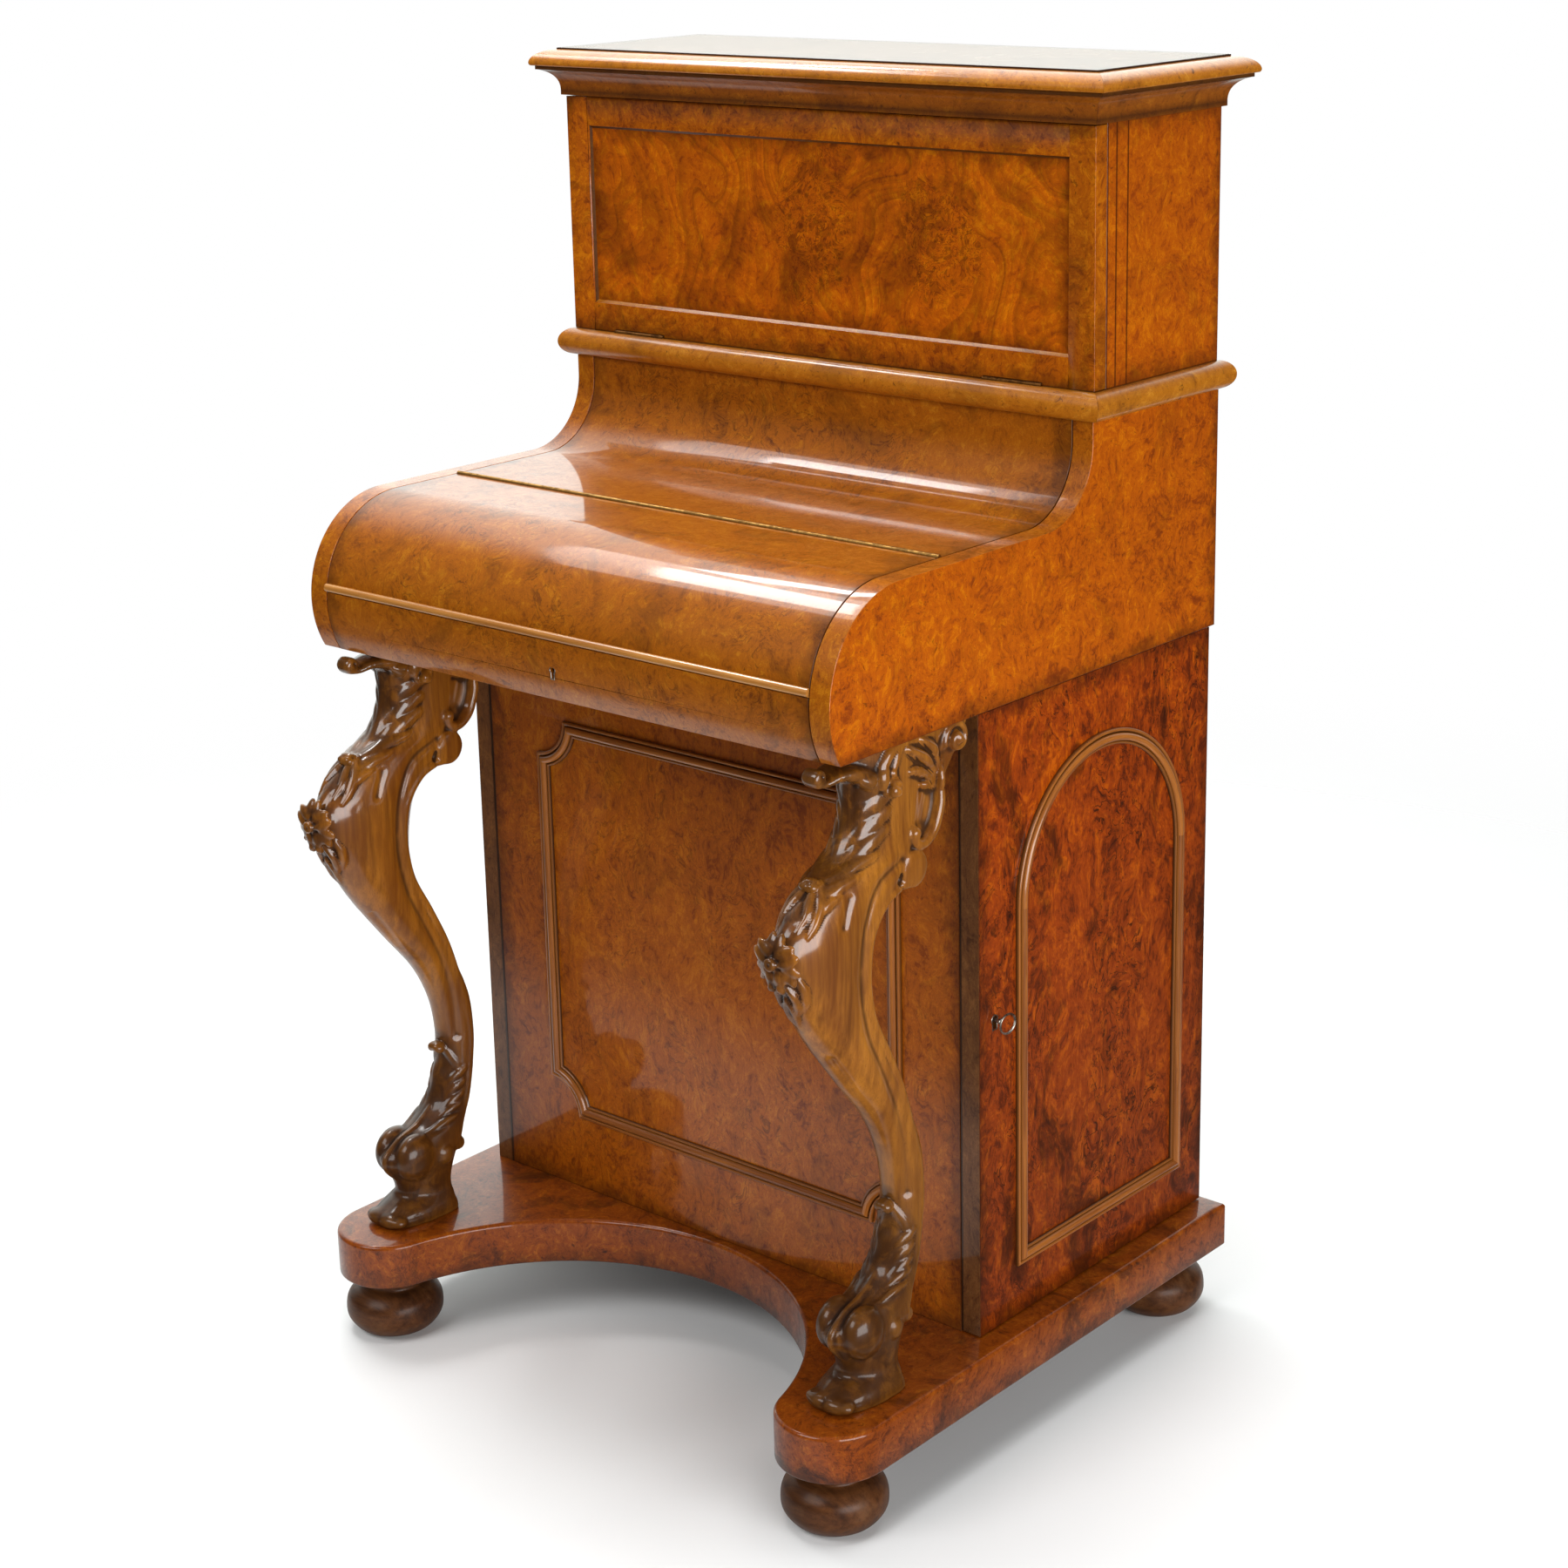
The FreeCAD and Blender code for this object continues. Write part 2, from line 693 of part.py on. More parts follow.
def side_door(door_leaves, rooms):
    door = box(x_door_inside, x_pedestal, y_pedestal, y_back, z_pedestal + swing_gap, z_case - swing_gap)
    hole = keyhole(x_door_inside, x_pedestal + cut_overrun, keyhole_room)
    for shape in door_leaves + rooms + [lock_block(), hole]:
        door = door.cut(shape)
    return door


def door_key():
    """Shank with a bit inside the lock, a collar against the door and a ring bow in the XZ plane."""
    x_collar = x_pedestal + key_stand_off
    x_bow = x_collar + key_collar_length + key_bow_radius
    shank = key_axis_rod(key_shank_radius, x_door_inside + lock_floor + key_bit_gap, x_bow - key_bow_radius)
    collar = key_axis_rod(key_collar_radius, x_collar, x_collar + key_collar_length)
    bit = box(x_door_inside + lock_floor + key_bit_gap, x_lock_outside - lock_floor - key_bit_gap,
              y_key - key_bit_thickness / 2, y_key + key_bit_thickness / 2, z_key - key_bit_length, z_key)
    bow = Part.makeTorus(key_bow_radius, key_bow_wire, FreeCAD.Vector(x_bow, y_key, z_key),
                         FreeCAD.Vector(0, 1, 0))
    return shank.multiFuse([collar, bit, bow]).removeSplitter()


# Writing case

def nose_y(radius, z):
    return y_nose_centre - math.sqrt(radius ** 2 - (z - z_nose_centre) ** 2)


def nose_arc(radius, z, upwards):
    """The nose's arc between height z and its top, about the nose's centre."""
    turn = (math.asin((z - z_nose_centre) / radius) + math.pi / 2) / 2
    low = point(nose_y(radius, z), z)
    middle = point(y_nose_centre - radius * math.cos(turn), z_nose_centre + radius * math.sin(turn))
    high = point(y_nose_centre, z_nose_centre + radius)
    return arc(low, middle, high) if upwards else arc(high, middle, low)


def cove_arc(radius, upwards):
    """The hollow's arc, from level at its front to upright at its back."""
    low = point(y_cove_centre, z_cove_centre - radius)
    slant = radius * math.sqrt(0.5)
    middle = point(y_cove_centre + slant, z_cove_centre - slant)
    high = point(y_cove_centre + radius, z_cove_centre)
    return arc(low, middle, high) if upwards else arc(high, middle, low)


def cheek(side):
    y_corner = nose_y(nose_radius, z_case)
    section = face([
        line(point(y_cheek_back, z_case), point(y_corner, z_case)),
        nose_arc(nose_radius, z_case, True),
        line(point(y_nose_centre, z_flat), point(y_cove_centre, z_flat)),
        cove_arc(cove_radius, True),
        line(point(y_fall, z_cove_centre), point(y_fall, z_bead)),
        line(point(y_fall, z_bead), point(y_cheek_back, z_bead)),
        line(point(y_cheek_back, z_bead), point(y_cheek_back, z_case)),
    ])
    right = along_x(section, x_case, x_desk)
    return right if side > 0 else mirrored(right)


def lid(leaf, room):
    inner = nose_radius - lid_thickness
    section = face([
        line(point(y_lid_rear, z_flat), point(y_nose_centre, z_flat)),
        nose_arc(nose_radius, z_lid_edge, False),
        line(point(nose_y(nose_radius, z_lid_edge), z_lid_edge),
             point(nose_y(inner, z_lid_edge), z_lid_edge)),
        nose_arc(inner, z_lid_edge, True),
        line(point(y_nose_centre, z_flat - lid_thickness), point(y_lid_rear, z_flat - lid_thickness)),
        line(point(y_lid_rear, z_flat - lid_thickness), point(y_lid_rear, z_flat)),
    ])
    half = lid_bolt_width / 2 + slide_gap
    pocket = box(-half, half, y_lid_bolt - slide_gap, y_lid_bolt + lid_bolt_thickness + slide_gap,
                 z_lid_edge - cut_overrun, z_lid_edge + lid_bolt_pocket)
    x = x_case - seam_gap
    return along_x(section, -x, x).cut(room).cut(pocket).cut(leaf)


def lid_lip():
    """A half-round bead on the lid's lower edge."""
    z = z_lid_edge + lip_radius
    x = x_case - seam_gap
    bead = rod_x(lip_radius, -x, x, nose_y(nose_radius, z), z)
    nose = rod_x(nose_radius, -x - cut_overrun, x + cut_overrun, y_nose_centre, z_nose_centre)
    return bead.cut(nose)


def hood(leaf, room):
    """The fixed top behind the lid: level, then coved up to the cabinet."""
    outer = cove_radius + board_thickness
    section = face([
        line(point(y_hood_front, z_flat), point(y_cove_centre, z_flat)),
        cove_arc(cove_radius, True),
        line(point(y_fall, z_cove_centre), point(y_fall, z_bead)),
        line(point(y_fall, z_bead), point(y_fall + board_thickness, z_bead)),
        line(point(y_fall + board_thickness, z_bead), point(y_fall + board_thickness, z_cove_centre)),
        cove_arc(outer, False),
        line(point(y_cove_centre, z_flat - board_thickness), point(y_hood_front, z_flat - board_thickness)),
        line(point(y_hood_front, z_flat - board_thickness), point(y_hood_front, z_flat)),
    ])
    return along_x(section, -x_case, x_case).cut(room).cut(leaf)


y_lid_bolt = y_nose + lid_bolt_inset
y_lid_lock = y_rail_back - lid_lock_depth


def lid_lock_bolt():
    half = lid_bolt_width / 2
    z1 = z_rail - lid_bolt_drop
    return box(-half, half, y_lid_bolt, y_lid_bolt + lid_bolt_thickness, z1 - lid_bolt_length, z1)


def lid_keyhole(y0, y1):
    z = z_rail - lid_keyhole_drop
    half = lid_keyhole_slot_width / 2
    hole = Part.makeCylinder(lid_keyhole_radius, y1 - y0, point(y0, z), FreeCAD.Vector(0, 1, 0))
    return hole.fuse(box(-half, half, y0, y1, z - lid_keyhole_slot, z))


def lid_lock_block():
    half = lid_lock_width / 2
    return box(-half, half, y_lid_lock, y_rail_back, z_rail - lid_lock_height, z_rail)


def lid_lock_case():
    half = lid_bolt_width / 2 + bolt_gap
    channel = box(-half, half, y_lid_bolt - bolt_gap, y_lid_bolt + lid_bolt_thickness + bolt_gap,
                  z_rail - lid_bolt_drop - lid_bolt_length - bolt_gap, z_rail + cut_overrun)
    hole = lid_keyhole(y_lid_lock - cut_overrun, y_rail_back - lock_floor)
    return lid_lock_block().cut(channel).cut(hole)


def front_rail():
    """The fixed lower part of the nose, between the lid and the bottom."""
    y_corner = nose_y(nose_radius, z_case)
    middle = point(y_nose, z_nose_centre)
    section = face([
        arc(point(nose_y(nose_radius, z_rail), z_rail), middle, point(y_corner, z_case)),
        line(point(y_corner, z_case), point(y_rail_back, z_case)),
        line(point(y_rail_back, z_case), point(y_rail_back, z_rail)),
        line(point(y_rail_back, z_rail), point(nose_y(nose_radius, z_rail), z_rail)),
    ])
    rail = along_x(section, -x_case, x_case)
    return rail.cut(lid_lock_block()).cut(lid_keyhole(y_nose - cut_overrun, y_rail_back))


def case_bottom():
    return box(-x_case, x_case, y_rail_back, y_case_back, z_case, z_case + case_bottom_thickness)


def case_back():
    return box(-x_case, x_case, y_case_back, y_cheek_back, z_case, z_bead)


y_slide = y_nose + slide_front_inset
z_slide = z_rail - lid_bolt_drop + lid_bolt_throw + swing_gap
z_runner = z_slide - slide_gap


def slide_runners():
    """Two bearers under the writing board and two kickers over it, on the cheeks."""
    z_kicker = z_slide + slide_thickness + slide_gap
    strips = []
    for y, z in ((y_rail_back, z_runner - runner_height), (y_hood_front, z_kicker)):
        right = box(x_case - runner_width, x_case, y, y_case_back, z, z + runner_height)
        strips += [right, mirrored(right)]
    return group(strips)


def leather_box(z0):
    x = x_case - seam_gap - leather_margin
    return box(-x, x, y_slide + leather_margin, y_slide + slide_length - leather_margin,
               z0, z_slide + slide_thickness)


def writing_slide():
    """The writing board, with a rounded front edge and a sunk field for the leather."""
    x = x_case - seam_gap
    board = box(-x, x, y_slide, y_slide + slide_length, z_slide, z_slide + slide_thickness)
    front = [e for e in board.Edges if e.BoundBox.YMax < y_slide + slide_nosing
             and e.BoundBox.XLength > x]
    board = board.makeFillet(slide_nosing, front)
    return board.cut(leather_box(z_slide + slide_thickness - leather_thickness))


def writing_leather():
    return leather_box(z_slide + slide_thickness - leather_thickness)


# Stationery cabinet

def mitred_strips(profile, reach, z0, z1, half_x, y0, y1):
    """Four strips round a rectangle, mitred: profile lies in x = 0 with -Y outwards from y = 0."""
    middle = (y0 + y1) / 2
    sides = (
        (0, half_x, point(y0, 0)),
        (90, (y1 - y0) / 2, point(middle, 0, half_x)),
        (180, half_x, point(y1, 0)),
        (270, (y1 - y0) / 2, point(middle, 0, -half_x)),
    )
    strips = []
    for angle, half, place in sides:
        end = half + reach + cut_overrun
        strip = along_x(profile, -end, end)
        out = reach + cut_overrun
        z = z0 - cut_overrun
        wedge = polygon([point(0, z, -half), point(0, z, half),
                         point(-out, z, half + out), point(-out, z, -half - out)])
        strip = strip.common(wedge.extrude(FreeCAD.Vector(0, 0, z1 - z + cut_overrun)))
        strip.Placement = FreeCAD.Placement(place, FreeCAD.Rotation(FreeCAD.Vector(0, 0, 1), angle))
        strips.append(strip)
    return group(strips)


def waist_board(board_leaves, rooms):
    board = box(-x_upper, x_upper, y_fall, y_back, z_bead, z_upper)
    for shape in board_leaves + rooms:
        board = board.cut(shape)
    return board


def waist_bead(rooms):
    radius = bead_thickness / 2
    section = face([
        line(point(0, z_upper), point(0, z_bead)),
        arc(point(0, z_bead), point(-radius, z_bead + radius), point(0, z_upper)),
    ])
    bead = mitred_strips(section, radius, z_bead, z_upper, x_upper, y_fall, y_back)
    for room in rooms:
        bead = bead.cut(room)
    return bead


def upper_side(side):
    right = box(x_cabinet, x_upper, y_cabinet, y_back, z_upper, z_cornice)
    return right if side > 0 else mirrored(right)


y_cabinet_back = y_back - upper_back_thickness


def upper_back():
    return box(-x_cabinet, x_cabinet, y_cabinet_back, y_back, z_upper, z_cornice)


def upper_top():
    return box(-x_upper, x_upper, y_fall, y_back, z_cornice, z_top_board)


z_shelf = z_upper + pigeonhole_shelf_rise
y_pigeonhole = y_cabinet + pigeonhole_setback


def pigeonhole_shelf():
    return box(-x_cabinet, x_cabinet, y_pigeonhole, y_cabinet_back, z_shelf, z_shelf + pigeonhole_board)


def pigeonhole_dividers():
    """A row of uprights above the shelf and one in the middle below it."""
    uprights = []
    half = pigeonhole_board / 2
    for index in range(1, pigeonhole_divider_count + 1):
        x = -x_cabinet + 2 * x_cabinet * index / (pigeonhole_divider_count + 1)
        uprights.append(box(x - half, x + half, y_pigeonhole, y_cabinet_back,
                            z_shelf + pigeonhole_board, z_cornice))
    uprights.append(box(-half, half, y_pigeonhole, y_cabinet_back, z_upper, z_shelf))
    return group(uprights)


z_fall = z_upper + slide_gap
z_fall_top = z_cornice - swing_gap
x_fall_panel = x_upper - fall_frame_width


def fall_frame(fall_leaves, rooms):
    """Two stiles and two rails round the sunk panel."""
    y1 = y_fall + fall_thickness
    pieces = []
    for side in (-1, 1):
        x0, x1 = sorted((side * x_fall_panel, side * x_upper))
        pieces.append(box(x0, x1, y_fall, y1, z_fall, z_fall_top))
    bottom = box(-x_fall_panel, x_fall_panel, y_fall, y1, z_fall, z_fall + fall_frame_width)
    for shape in fall_leaves + rooms:
        bottom = bottom.cut(shape)
    top = box(-x_fall_panel, x_fall_panel, y_fall, y1, z_fall_top - fall_frame_width, z_fall_top)
    return group(pieces + [bottom, top])


def fall_panel():
    y0 = y_fall + fall_recess
    return box(-x_fall_panel, x_fall_panel, y0, y0 + fall_panel_thickness,
               z_fall + fall_frame_width, z_fall_top - fall_frame_width)


# Cornice and top

def cornice_cove():
    """A hollow moulding between a small foot and the top."""
    foot = point(-cove_foot_reach, z_cornice + cove_foot_height)
    lip = point(-cove_reach, z_top_board)
    chord = lip - foot
    inward = FreeCAD.Vector(0, chord.z, -chord.y)
    middle = foot + chord * 0.5 + inward * cove_sag_share
    section = face([
        line(point(0, z_top_board), point(0, z_cornice)),
        line(point(0, z_cornice), point(-cove_foot_reach, z_cornice)),
        line(point(-cove_foot_reach, z_cornice), foot),
        arc(foot, middle, lip),
        line(lip, point(0, z_top_board)),
    ])
    return mitred_strips(section, cove_reach, z_cornice, z_top_board, x_upper, y_fall, y_back)


def top_board():
    edge = top_field_overhang
    return box(-x_upper - edge, x_upper + edge, y_fall - edge, y_back + edge, z_top_board, z_top)


def top_edge():
    """A fillet under a thumb moulding round the top board: its arc starts at the fillet and ends level."""
    reach = top_overhang - top_field_overhang
    step = point(-thumb_fillet_reach, z_top_board + thumb_fillet_height)
    bulge = reach - thumb_fillet_reach
    height = z_top - step.z
    radius = bulge + height - math.sqrt(2 * bulge * height)
    widest = point(-reach, z_top - radius)
    crown = point(radius - reach, z_top)
    section = face([
        line(point(0, z_top), point(0, z_top_board)),
        line(point(0, z_top_board), point(-thumb_fillet_reach, z_top_board)),
        line(point(-thumb_fillet_reach, z_top_board), step),
        arc(step, widest, crown),
        line(crown, point(0, z_top)),
    ])
    edge = top_field_overhang
    return mitred_strips(section, reach, z_top_board, z_top, x_upper + edge, y_fall - edge, y_back + edge)


def build():
    """Every piece of the desk by name."""
    leg = carved_leg()
    door_leaves, case_leaves, door_pins, door_rooms = door_hinges()
    fall_leaves, board_leaves, fall_pins, fall_rooms = fall_hinges()
    hood_leaf, lid_leaf, lid_pin, lid_room = lid_hinge()
    strike = link_strike()
    pieces = {
        "bun_feet": bun_feet(),
        "plinth": plinth(),
        "carved_leg_right": leg,
        "carved_leg_left": mirrored(leg),
        "pedestal_floor": pedestal_floor(),
        "pedestal_top": pedestal_top(),
        "front_panel": front_panel(strike),
        "front_panel_moulding": front_moulding(),
        "pedestal_back": pedestal_back(case_leaves, door_rooms),
        "left_side_panel": left_side_panel(),
        "left_arch_moulding": arch_moulding(-1),
        "drawer_dividers": drawer_dividers(),
        "door_hinge_case_leaves": group(case_leaves + door_pins),
        "door_lock_strike": strike,
        "side_door": side_door(door_leaves, door_rooms),
        "door_arch_moulding": arch_moulding(1),
        "door_hinge_door_leaves": group(door_leaves),
        "door_lock_case": door_lock_case(),
        "door_lock_bolt": door_lock_bolt(),
        "door_key": door_key(),
        "cheek_left": cheek(-1),
        "cheek_right": cheek(1),
        "case_bottom": case_bottom(),
        "case_back": case_back(),
        "front_rail": front_rail(),
        "hood": hood(hood_leaf, lid_room),
        "lid": lid(lid_leaf, lid_room),
        "lid_lip": lid_lip(),
        "lid_hinge_hood_leaf": group([hood_leaf, lid_pin]),
        "lid_hinge_lid_leaf": lid_leaf,
        "lid_lock_case": lid_lock_case(),
        "lid_lock_bolt": lid_lock_bolt(),
        "slide_runners": slide_runners(),
        "writing_slide": writing_slide(),
        "writing_leather": writing_leather(),
        "waist_board": waist_board(board_leaves, fall_rooms),
        "waist_bead": waist_bead(fall_rooms),
        "upper_side_left": upper_side(-1),
        "upper_side_right": upper_side(1),
        "upper_back": upper_back(),
        "upper_top": upper_top(),
        "pigeonhole_shelf": pigeonhole_shelf(),
        "pigeonhole_dividers": pigeonhole_dividers(),
        "fall_frame": fall_frame(fall_leaves, fall_rooms),
        "fall_panel": fall_panel(),
        "fall_hinge_fall_leaves": group(fall_leaves),
        "fall_hinge_board_leaves": group(board_leaves + fall_pins),
        "cornice_cove": cornice_cove(),
        "top_board": top_board(),
        "top_edge_moulding": top_edge(),
    }
    for index in range(drawer_count):
        front, walls = drawer(index)
        pieces["drawer_%d_front" % (index + 1)] = front
        pieces["drawer_%d_box" % (index + 1)] = walls
    return pieces


os.makedirs("parts", exist_ok=True)
for name, shape in build().items():
    shape.exportStep(os.path.join("parts", name + ".step"))
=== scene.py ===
import json
import math

import bmesh
import bpy
import numpy as np
from mathutils import Matrix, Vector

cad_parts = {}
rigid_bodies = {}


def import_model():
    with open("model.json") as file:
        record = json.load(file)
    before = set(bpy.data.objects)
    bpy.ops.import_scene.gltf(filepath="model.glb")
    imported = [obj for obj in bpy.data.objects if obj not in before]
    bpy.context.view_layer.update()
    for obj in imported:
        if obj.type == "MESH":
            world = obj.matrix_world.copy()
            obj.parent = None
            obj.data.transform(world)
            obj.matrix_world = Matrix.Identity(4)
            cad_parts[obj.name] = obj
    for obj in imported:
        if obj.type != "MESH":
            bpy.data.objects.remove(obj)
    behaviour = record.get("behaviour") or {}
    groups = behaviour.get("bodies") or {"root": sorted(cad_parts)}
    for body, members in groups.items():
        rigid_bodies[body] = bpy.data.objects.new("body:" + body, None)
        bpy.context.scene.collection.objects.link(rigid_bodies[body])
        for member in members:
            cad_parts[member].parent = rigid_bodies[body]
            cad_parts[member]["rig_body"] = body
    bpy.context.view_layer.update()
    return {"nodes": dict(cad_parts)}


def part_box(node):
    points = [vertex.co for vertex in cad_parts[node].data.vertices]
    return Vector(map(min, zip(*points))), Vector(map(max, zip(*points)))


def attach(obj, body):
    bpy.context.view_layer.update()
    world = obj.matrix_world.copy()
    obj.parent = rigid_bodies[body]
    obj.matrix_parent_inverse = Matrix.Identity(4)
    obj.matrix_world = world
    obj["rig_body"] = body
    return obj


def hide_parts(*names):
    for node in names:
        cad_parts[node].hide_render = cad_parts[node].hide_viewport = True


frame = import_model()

# Davenport desk: burr walnut veneer, walnut mouldings and carved walnut legs, on a pale studio floor.
# Lengths here are in millimetres in the frame of the CAD part, and mesh_of turns them into metres.
# A shell is (points, faces): an array of points and a list of faces that index it.

MM = 0.001

# Base
PLINTH_LOBE = 48.0
PLINTH_HOLLOW_DEPTH = 201.0
PLINTH_TOP_ARRIS = 4.0
PLINTH_FOOT_ARRIS = 2.5
FOOT_REAR_INSET = 40.0

# Mouldings of the pedestal
MOULDING_WIDTH = 14.0
# Middle, radius, foot and rise of its thin, broad and inner bead, and its floor as (across, up).
MOULDING_BEADS = ((1.6, 1.5, 2.4, 0.9), (7.6, 3.5, 2.0, 1.14), (12.6, 1.3, 1.6, 1.0))
MOULDING_FLOOR = ((0, 2.0), (3.2, 2.2), (4.1, 1.2), (11.0, 1.0), (14.0, 1.2))
# Heights on a moulding's face: the floor of its grooves and the height up to which its grooves are painted in
# shade, then how dark that painted shade is.
GROOVE_FLOOR = 1.0
GROOVE_SHADE_TOP = 3.6
GROOVE_SHADE = 0.9
FRONT_CORNER = 34.0

# Writing case
NOSE_RADIUS = 85.0
COVE_RADIUS = 62.0
LID_THICKNESS = 18.0
HOOD_THICKNESS = 16.0
LIP_RADIUS = 3.5
KNUCKLE_ROOM = 2.55
JOINT_LINE = 0.7

# Cabinet and cornice
CROSSBAND_JOINTS = (103.5, 115.8, 131.6)
# Middle, half width, half height and pull on the streaks of the fall's burr clusters.
FALL_CLUSTERS = ((-5.0, 986.0, 44.0, 72.0, 0.10), (132.0, 986.0, 46.0, 60.0, -0.09))
TOP_FIELD_OVERHANG = 4.0
TOP_JOINT = 0.25
TOP_STEP_WIDTH = 1.0
TOP_STEP_RISE = 1.4
COVE_FOOT = 3.5
COVE_FOOT_REACH = 3.4
COVE_LIP_REACH = 18.4
COVE_SAG = 0.2
# The thumb's rounded face from its underside up: outwards from the top board, and below its top.
THUMB_FACE = ((15.2, -15.6), (18.2, -15.4), (19.4, -13.2), (18.5, -9.8), (15.6, -6.4), (11.0, -3.8), (6.0, -2.3),
              (1.4, -1.6))
MITRE_LINE = 0.12
FALL_SLIP = 2.2
# Painted shade on the slip's foot, left, head and right.
FALL_SLIP_SHADE = (0.0, 0.8, 0.9, 0.3)

# Carved legs
LEG_VOXEL = 1.4
LEG_SQUARE_SHARE = 0.36
HOLLOW_GAIN = 4.6
FLOWER_HEIGHT = 498.0
PETALS = 6
# Half length, half width and half thickness of each half of a petal.
PETAL = (9.6, 5.0, 2.8)
BUTTON_RING = 3.5
BUTTON_WIRE = 2.1

# Keyholes, as radius of the round, depth of the slot and half its width, and the key
RAIL_KEYHOLE = (2.4, 7.0, 1.3)
RAIL_KEYHOLE_DROP = 24.0
DOOR_KEYHOLE = (3.58, 8.0, 2.48)
BOLT_ROOM = 0.3
KEY_DROP = 9.5
KEY_BOW_TALL = 8.5
KEY_BOW_WIDE = 6.4
KEY_WIRE = 1.0
KEY_LEAN = 35.0


def box(node):
    """A CAD node's lowest and highest corner in millimetres."""
    low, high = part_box(node)
    return np.array(low) / MM, np.array(high) / MM


# Lines that the CAD gives
(_, y_plinth_front, z_plinth), (x_plinth, y_plinth_back, z_pedestal) = box("plinth")
(_, y_pedestal, _), (x_carcass, _, z_case) = box("front_panel")
(_, _, _), (x_pedestal, y_back, _) = box("side_door")
(x_case, y_nose, _), (x_desk, y_cheek_back, z_bead) = box("cheek_right")
(_, _, _), (_, y_rail_back, z_rail) = box("front_rail")
(_, _, z_lid_edge), (x_lid, y_lid_rear, z_flat) = box("lid")
(_, y_hood_front, _), (_, _, _) = box("hood")
(_, y_fall, _), (x_upper, _, _) = box("fall_frame")
(_, _, z_cornice), (_, _, z_top_board) = box("upper_top")
(_, _, _), (_, _, z_top) = box("top_board")
(_, _, _), (_, _, z_upper) = box("waist_board")
x_inside = x_case - JOINT_LINE
x_leg = x_plinth - PLINTH_LOBE
y_lobe = y_plinth_front + PLINTH_LOBE
nose_centre = y_nose_centre, z_nose_centre = y_nose + NOSE_RADIUS, z_flat - NOSE_RADIUS
cove_centre = y_fall - COVE_RADIUS, z_flat + COVE_RADIUS
y_hinge = (y_lid_rear + y_hood_front) / 2


# Shells

def quads(rows, columns, ring_rows=False, ring_columns=False):
    """Faces between neighbours of a grid; a ring direction also joins its last line to its first."""
    r = np.arange(rows if ring_rows else rows - 1)
    c = np.arange(columns if ring_columns else columns - 1)
    r, c = np.meshgrid(r, c, indexing="ij")
    r_next, c_next = (r + 1) % rows, (c + 1) % columns
    corners = (r * columns + c, r * columns + c_next, r_next * columns + c_next, r_next * columns + c)
    return np.stack(corners, -1).reshape(-1, 4).tolist()


def skin(points, ring_rows=False, ring_columns=True, caps=True):
    """A grid of points (rows, columns, 3) under quads, its first and last rows closed by one face each."""
    rows, columns = points.shape[:2]
    faces = quads(rows, columns, ring_rows, ring_columns)
    if caps:
        faces += [list(range(columns))[::-1], list(range((rows - 1) * columns, rows * columns))]
    return points.reshape(-1, 3), faces


def joined(shells):
    """Several shells as one."""
    starts = np.cumsum([0] + [len(points) for points, _ in shells])
    faces = [[index + start for index in face] for (_, each), start in zip(shells, starts) for face in each]
    return np.vstack([points for points, _ in shells]), faces


def stacked(*columns):
    """Points from coordinate arrays that broadcast against each other."""
    return np.stack(np.broadcast_arrays(*columns), -1).astype(float)


def circle(count):
    """Evenly spaced angles once round."""
    return np.linspace(0, 2 * np.pi, count, endpoint=False)


def arc(centre, radius, start, end, count):
    """Points on a circle about centre, from angle start to end in degrees."""
    turn = np.radians(np.linspace(start, end, count))
    return stacked(centre[0] + radius * np.cos(turn), centre[1] + radius * np.sin(turn))


def through(points, count):
    """Catmull-Rom curve: each span is the cubic through its two points with slopes set by their neighbours."""
    p = np.asarray(points, float)
    p = np.vstack([2 * p[0] - p[1], p, 2 * p[-1] - p[-2]])
    t = np.linspace(0, len(points) - 1, count)
    i = np.minimum(t.astype(int), len(points) - 2)
    f = (t - i)[:, None]
    a, b, c, d = p[i], p[i + 1], p[i + 2], p[i + 3]
    return b + 0.5 * f * (c - a + f * (2 * a - 5 * b + 4 * c - d + f * (3 * b - a - 3 * c + d)))


def prism(outline, x0, x1):
    """A closed outline of (y, z) carried straight from x0 to x1."""
    y, z = np.asarray(outline, float).T
    return skin(stacked(np.array([[x0], [x1]]), y[None], z[None]))


def block(low, high):
    """A box between two corners, as a prism of its end."""
    (x0, y0, z0), (x1, y1, z1) = low, high
    return prism([(y0, z0), (y1, z0), (y1, z1), (y0, z1)], x0, x1)


def lathe(profile, centre, axis="z", count=96):
    """A profile of (radius, height) turned once about an axis through centre; it starts and ends near the axis."""
    radius, height = np.asarray(profile, float).T
    turn = circle(count)[None]
    a, b, h = radius[:, None] * np.cos(turn), radius[:, None] * np.sin(turn), height[:, None]
    order = {"z": (a, b, h), "y": (a, h, b), "x": (h, a, b)}[axis]
    return skin(stacked(*order) + np.asarray(centre, float))


def blob(centre, axes, count=28):
    """An ellipsoid: the unit ball's grid of latitude and longitude multiplied by three half axes."""
    rise = np.linspace(-np.pi / 2, np.pi / 2, count)[1:-1, None]
    turn = circle(2 * count)[None]
    ball = stacked(np.cos(rise) * np.cos(turn), np.cos(rise) * np.sin(turn), np.sin(rise))
    return skin(ball @ np.asarray(axes, float) + np.asarray(centre, float))


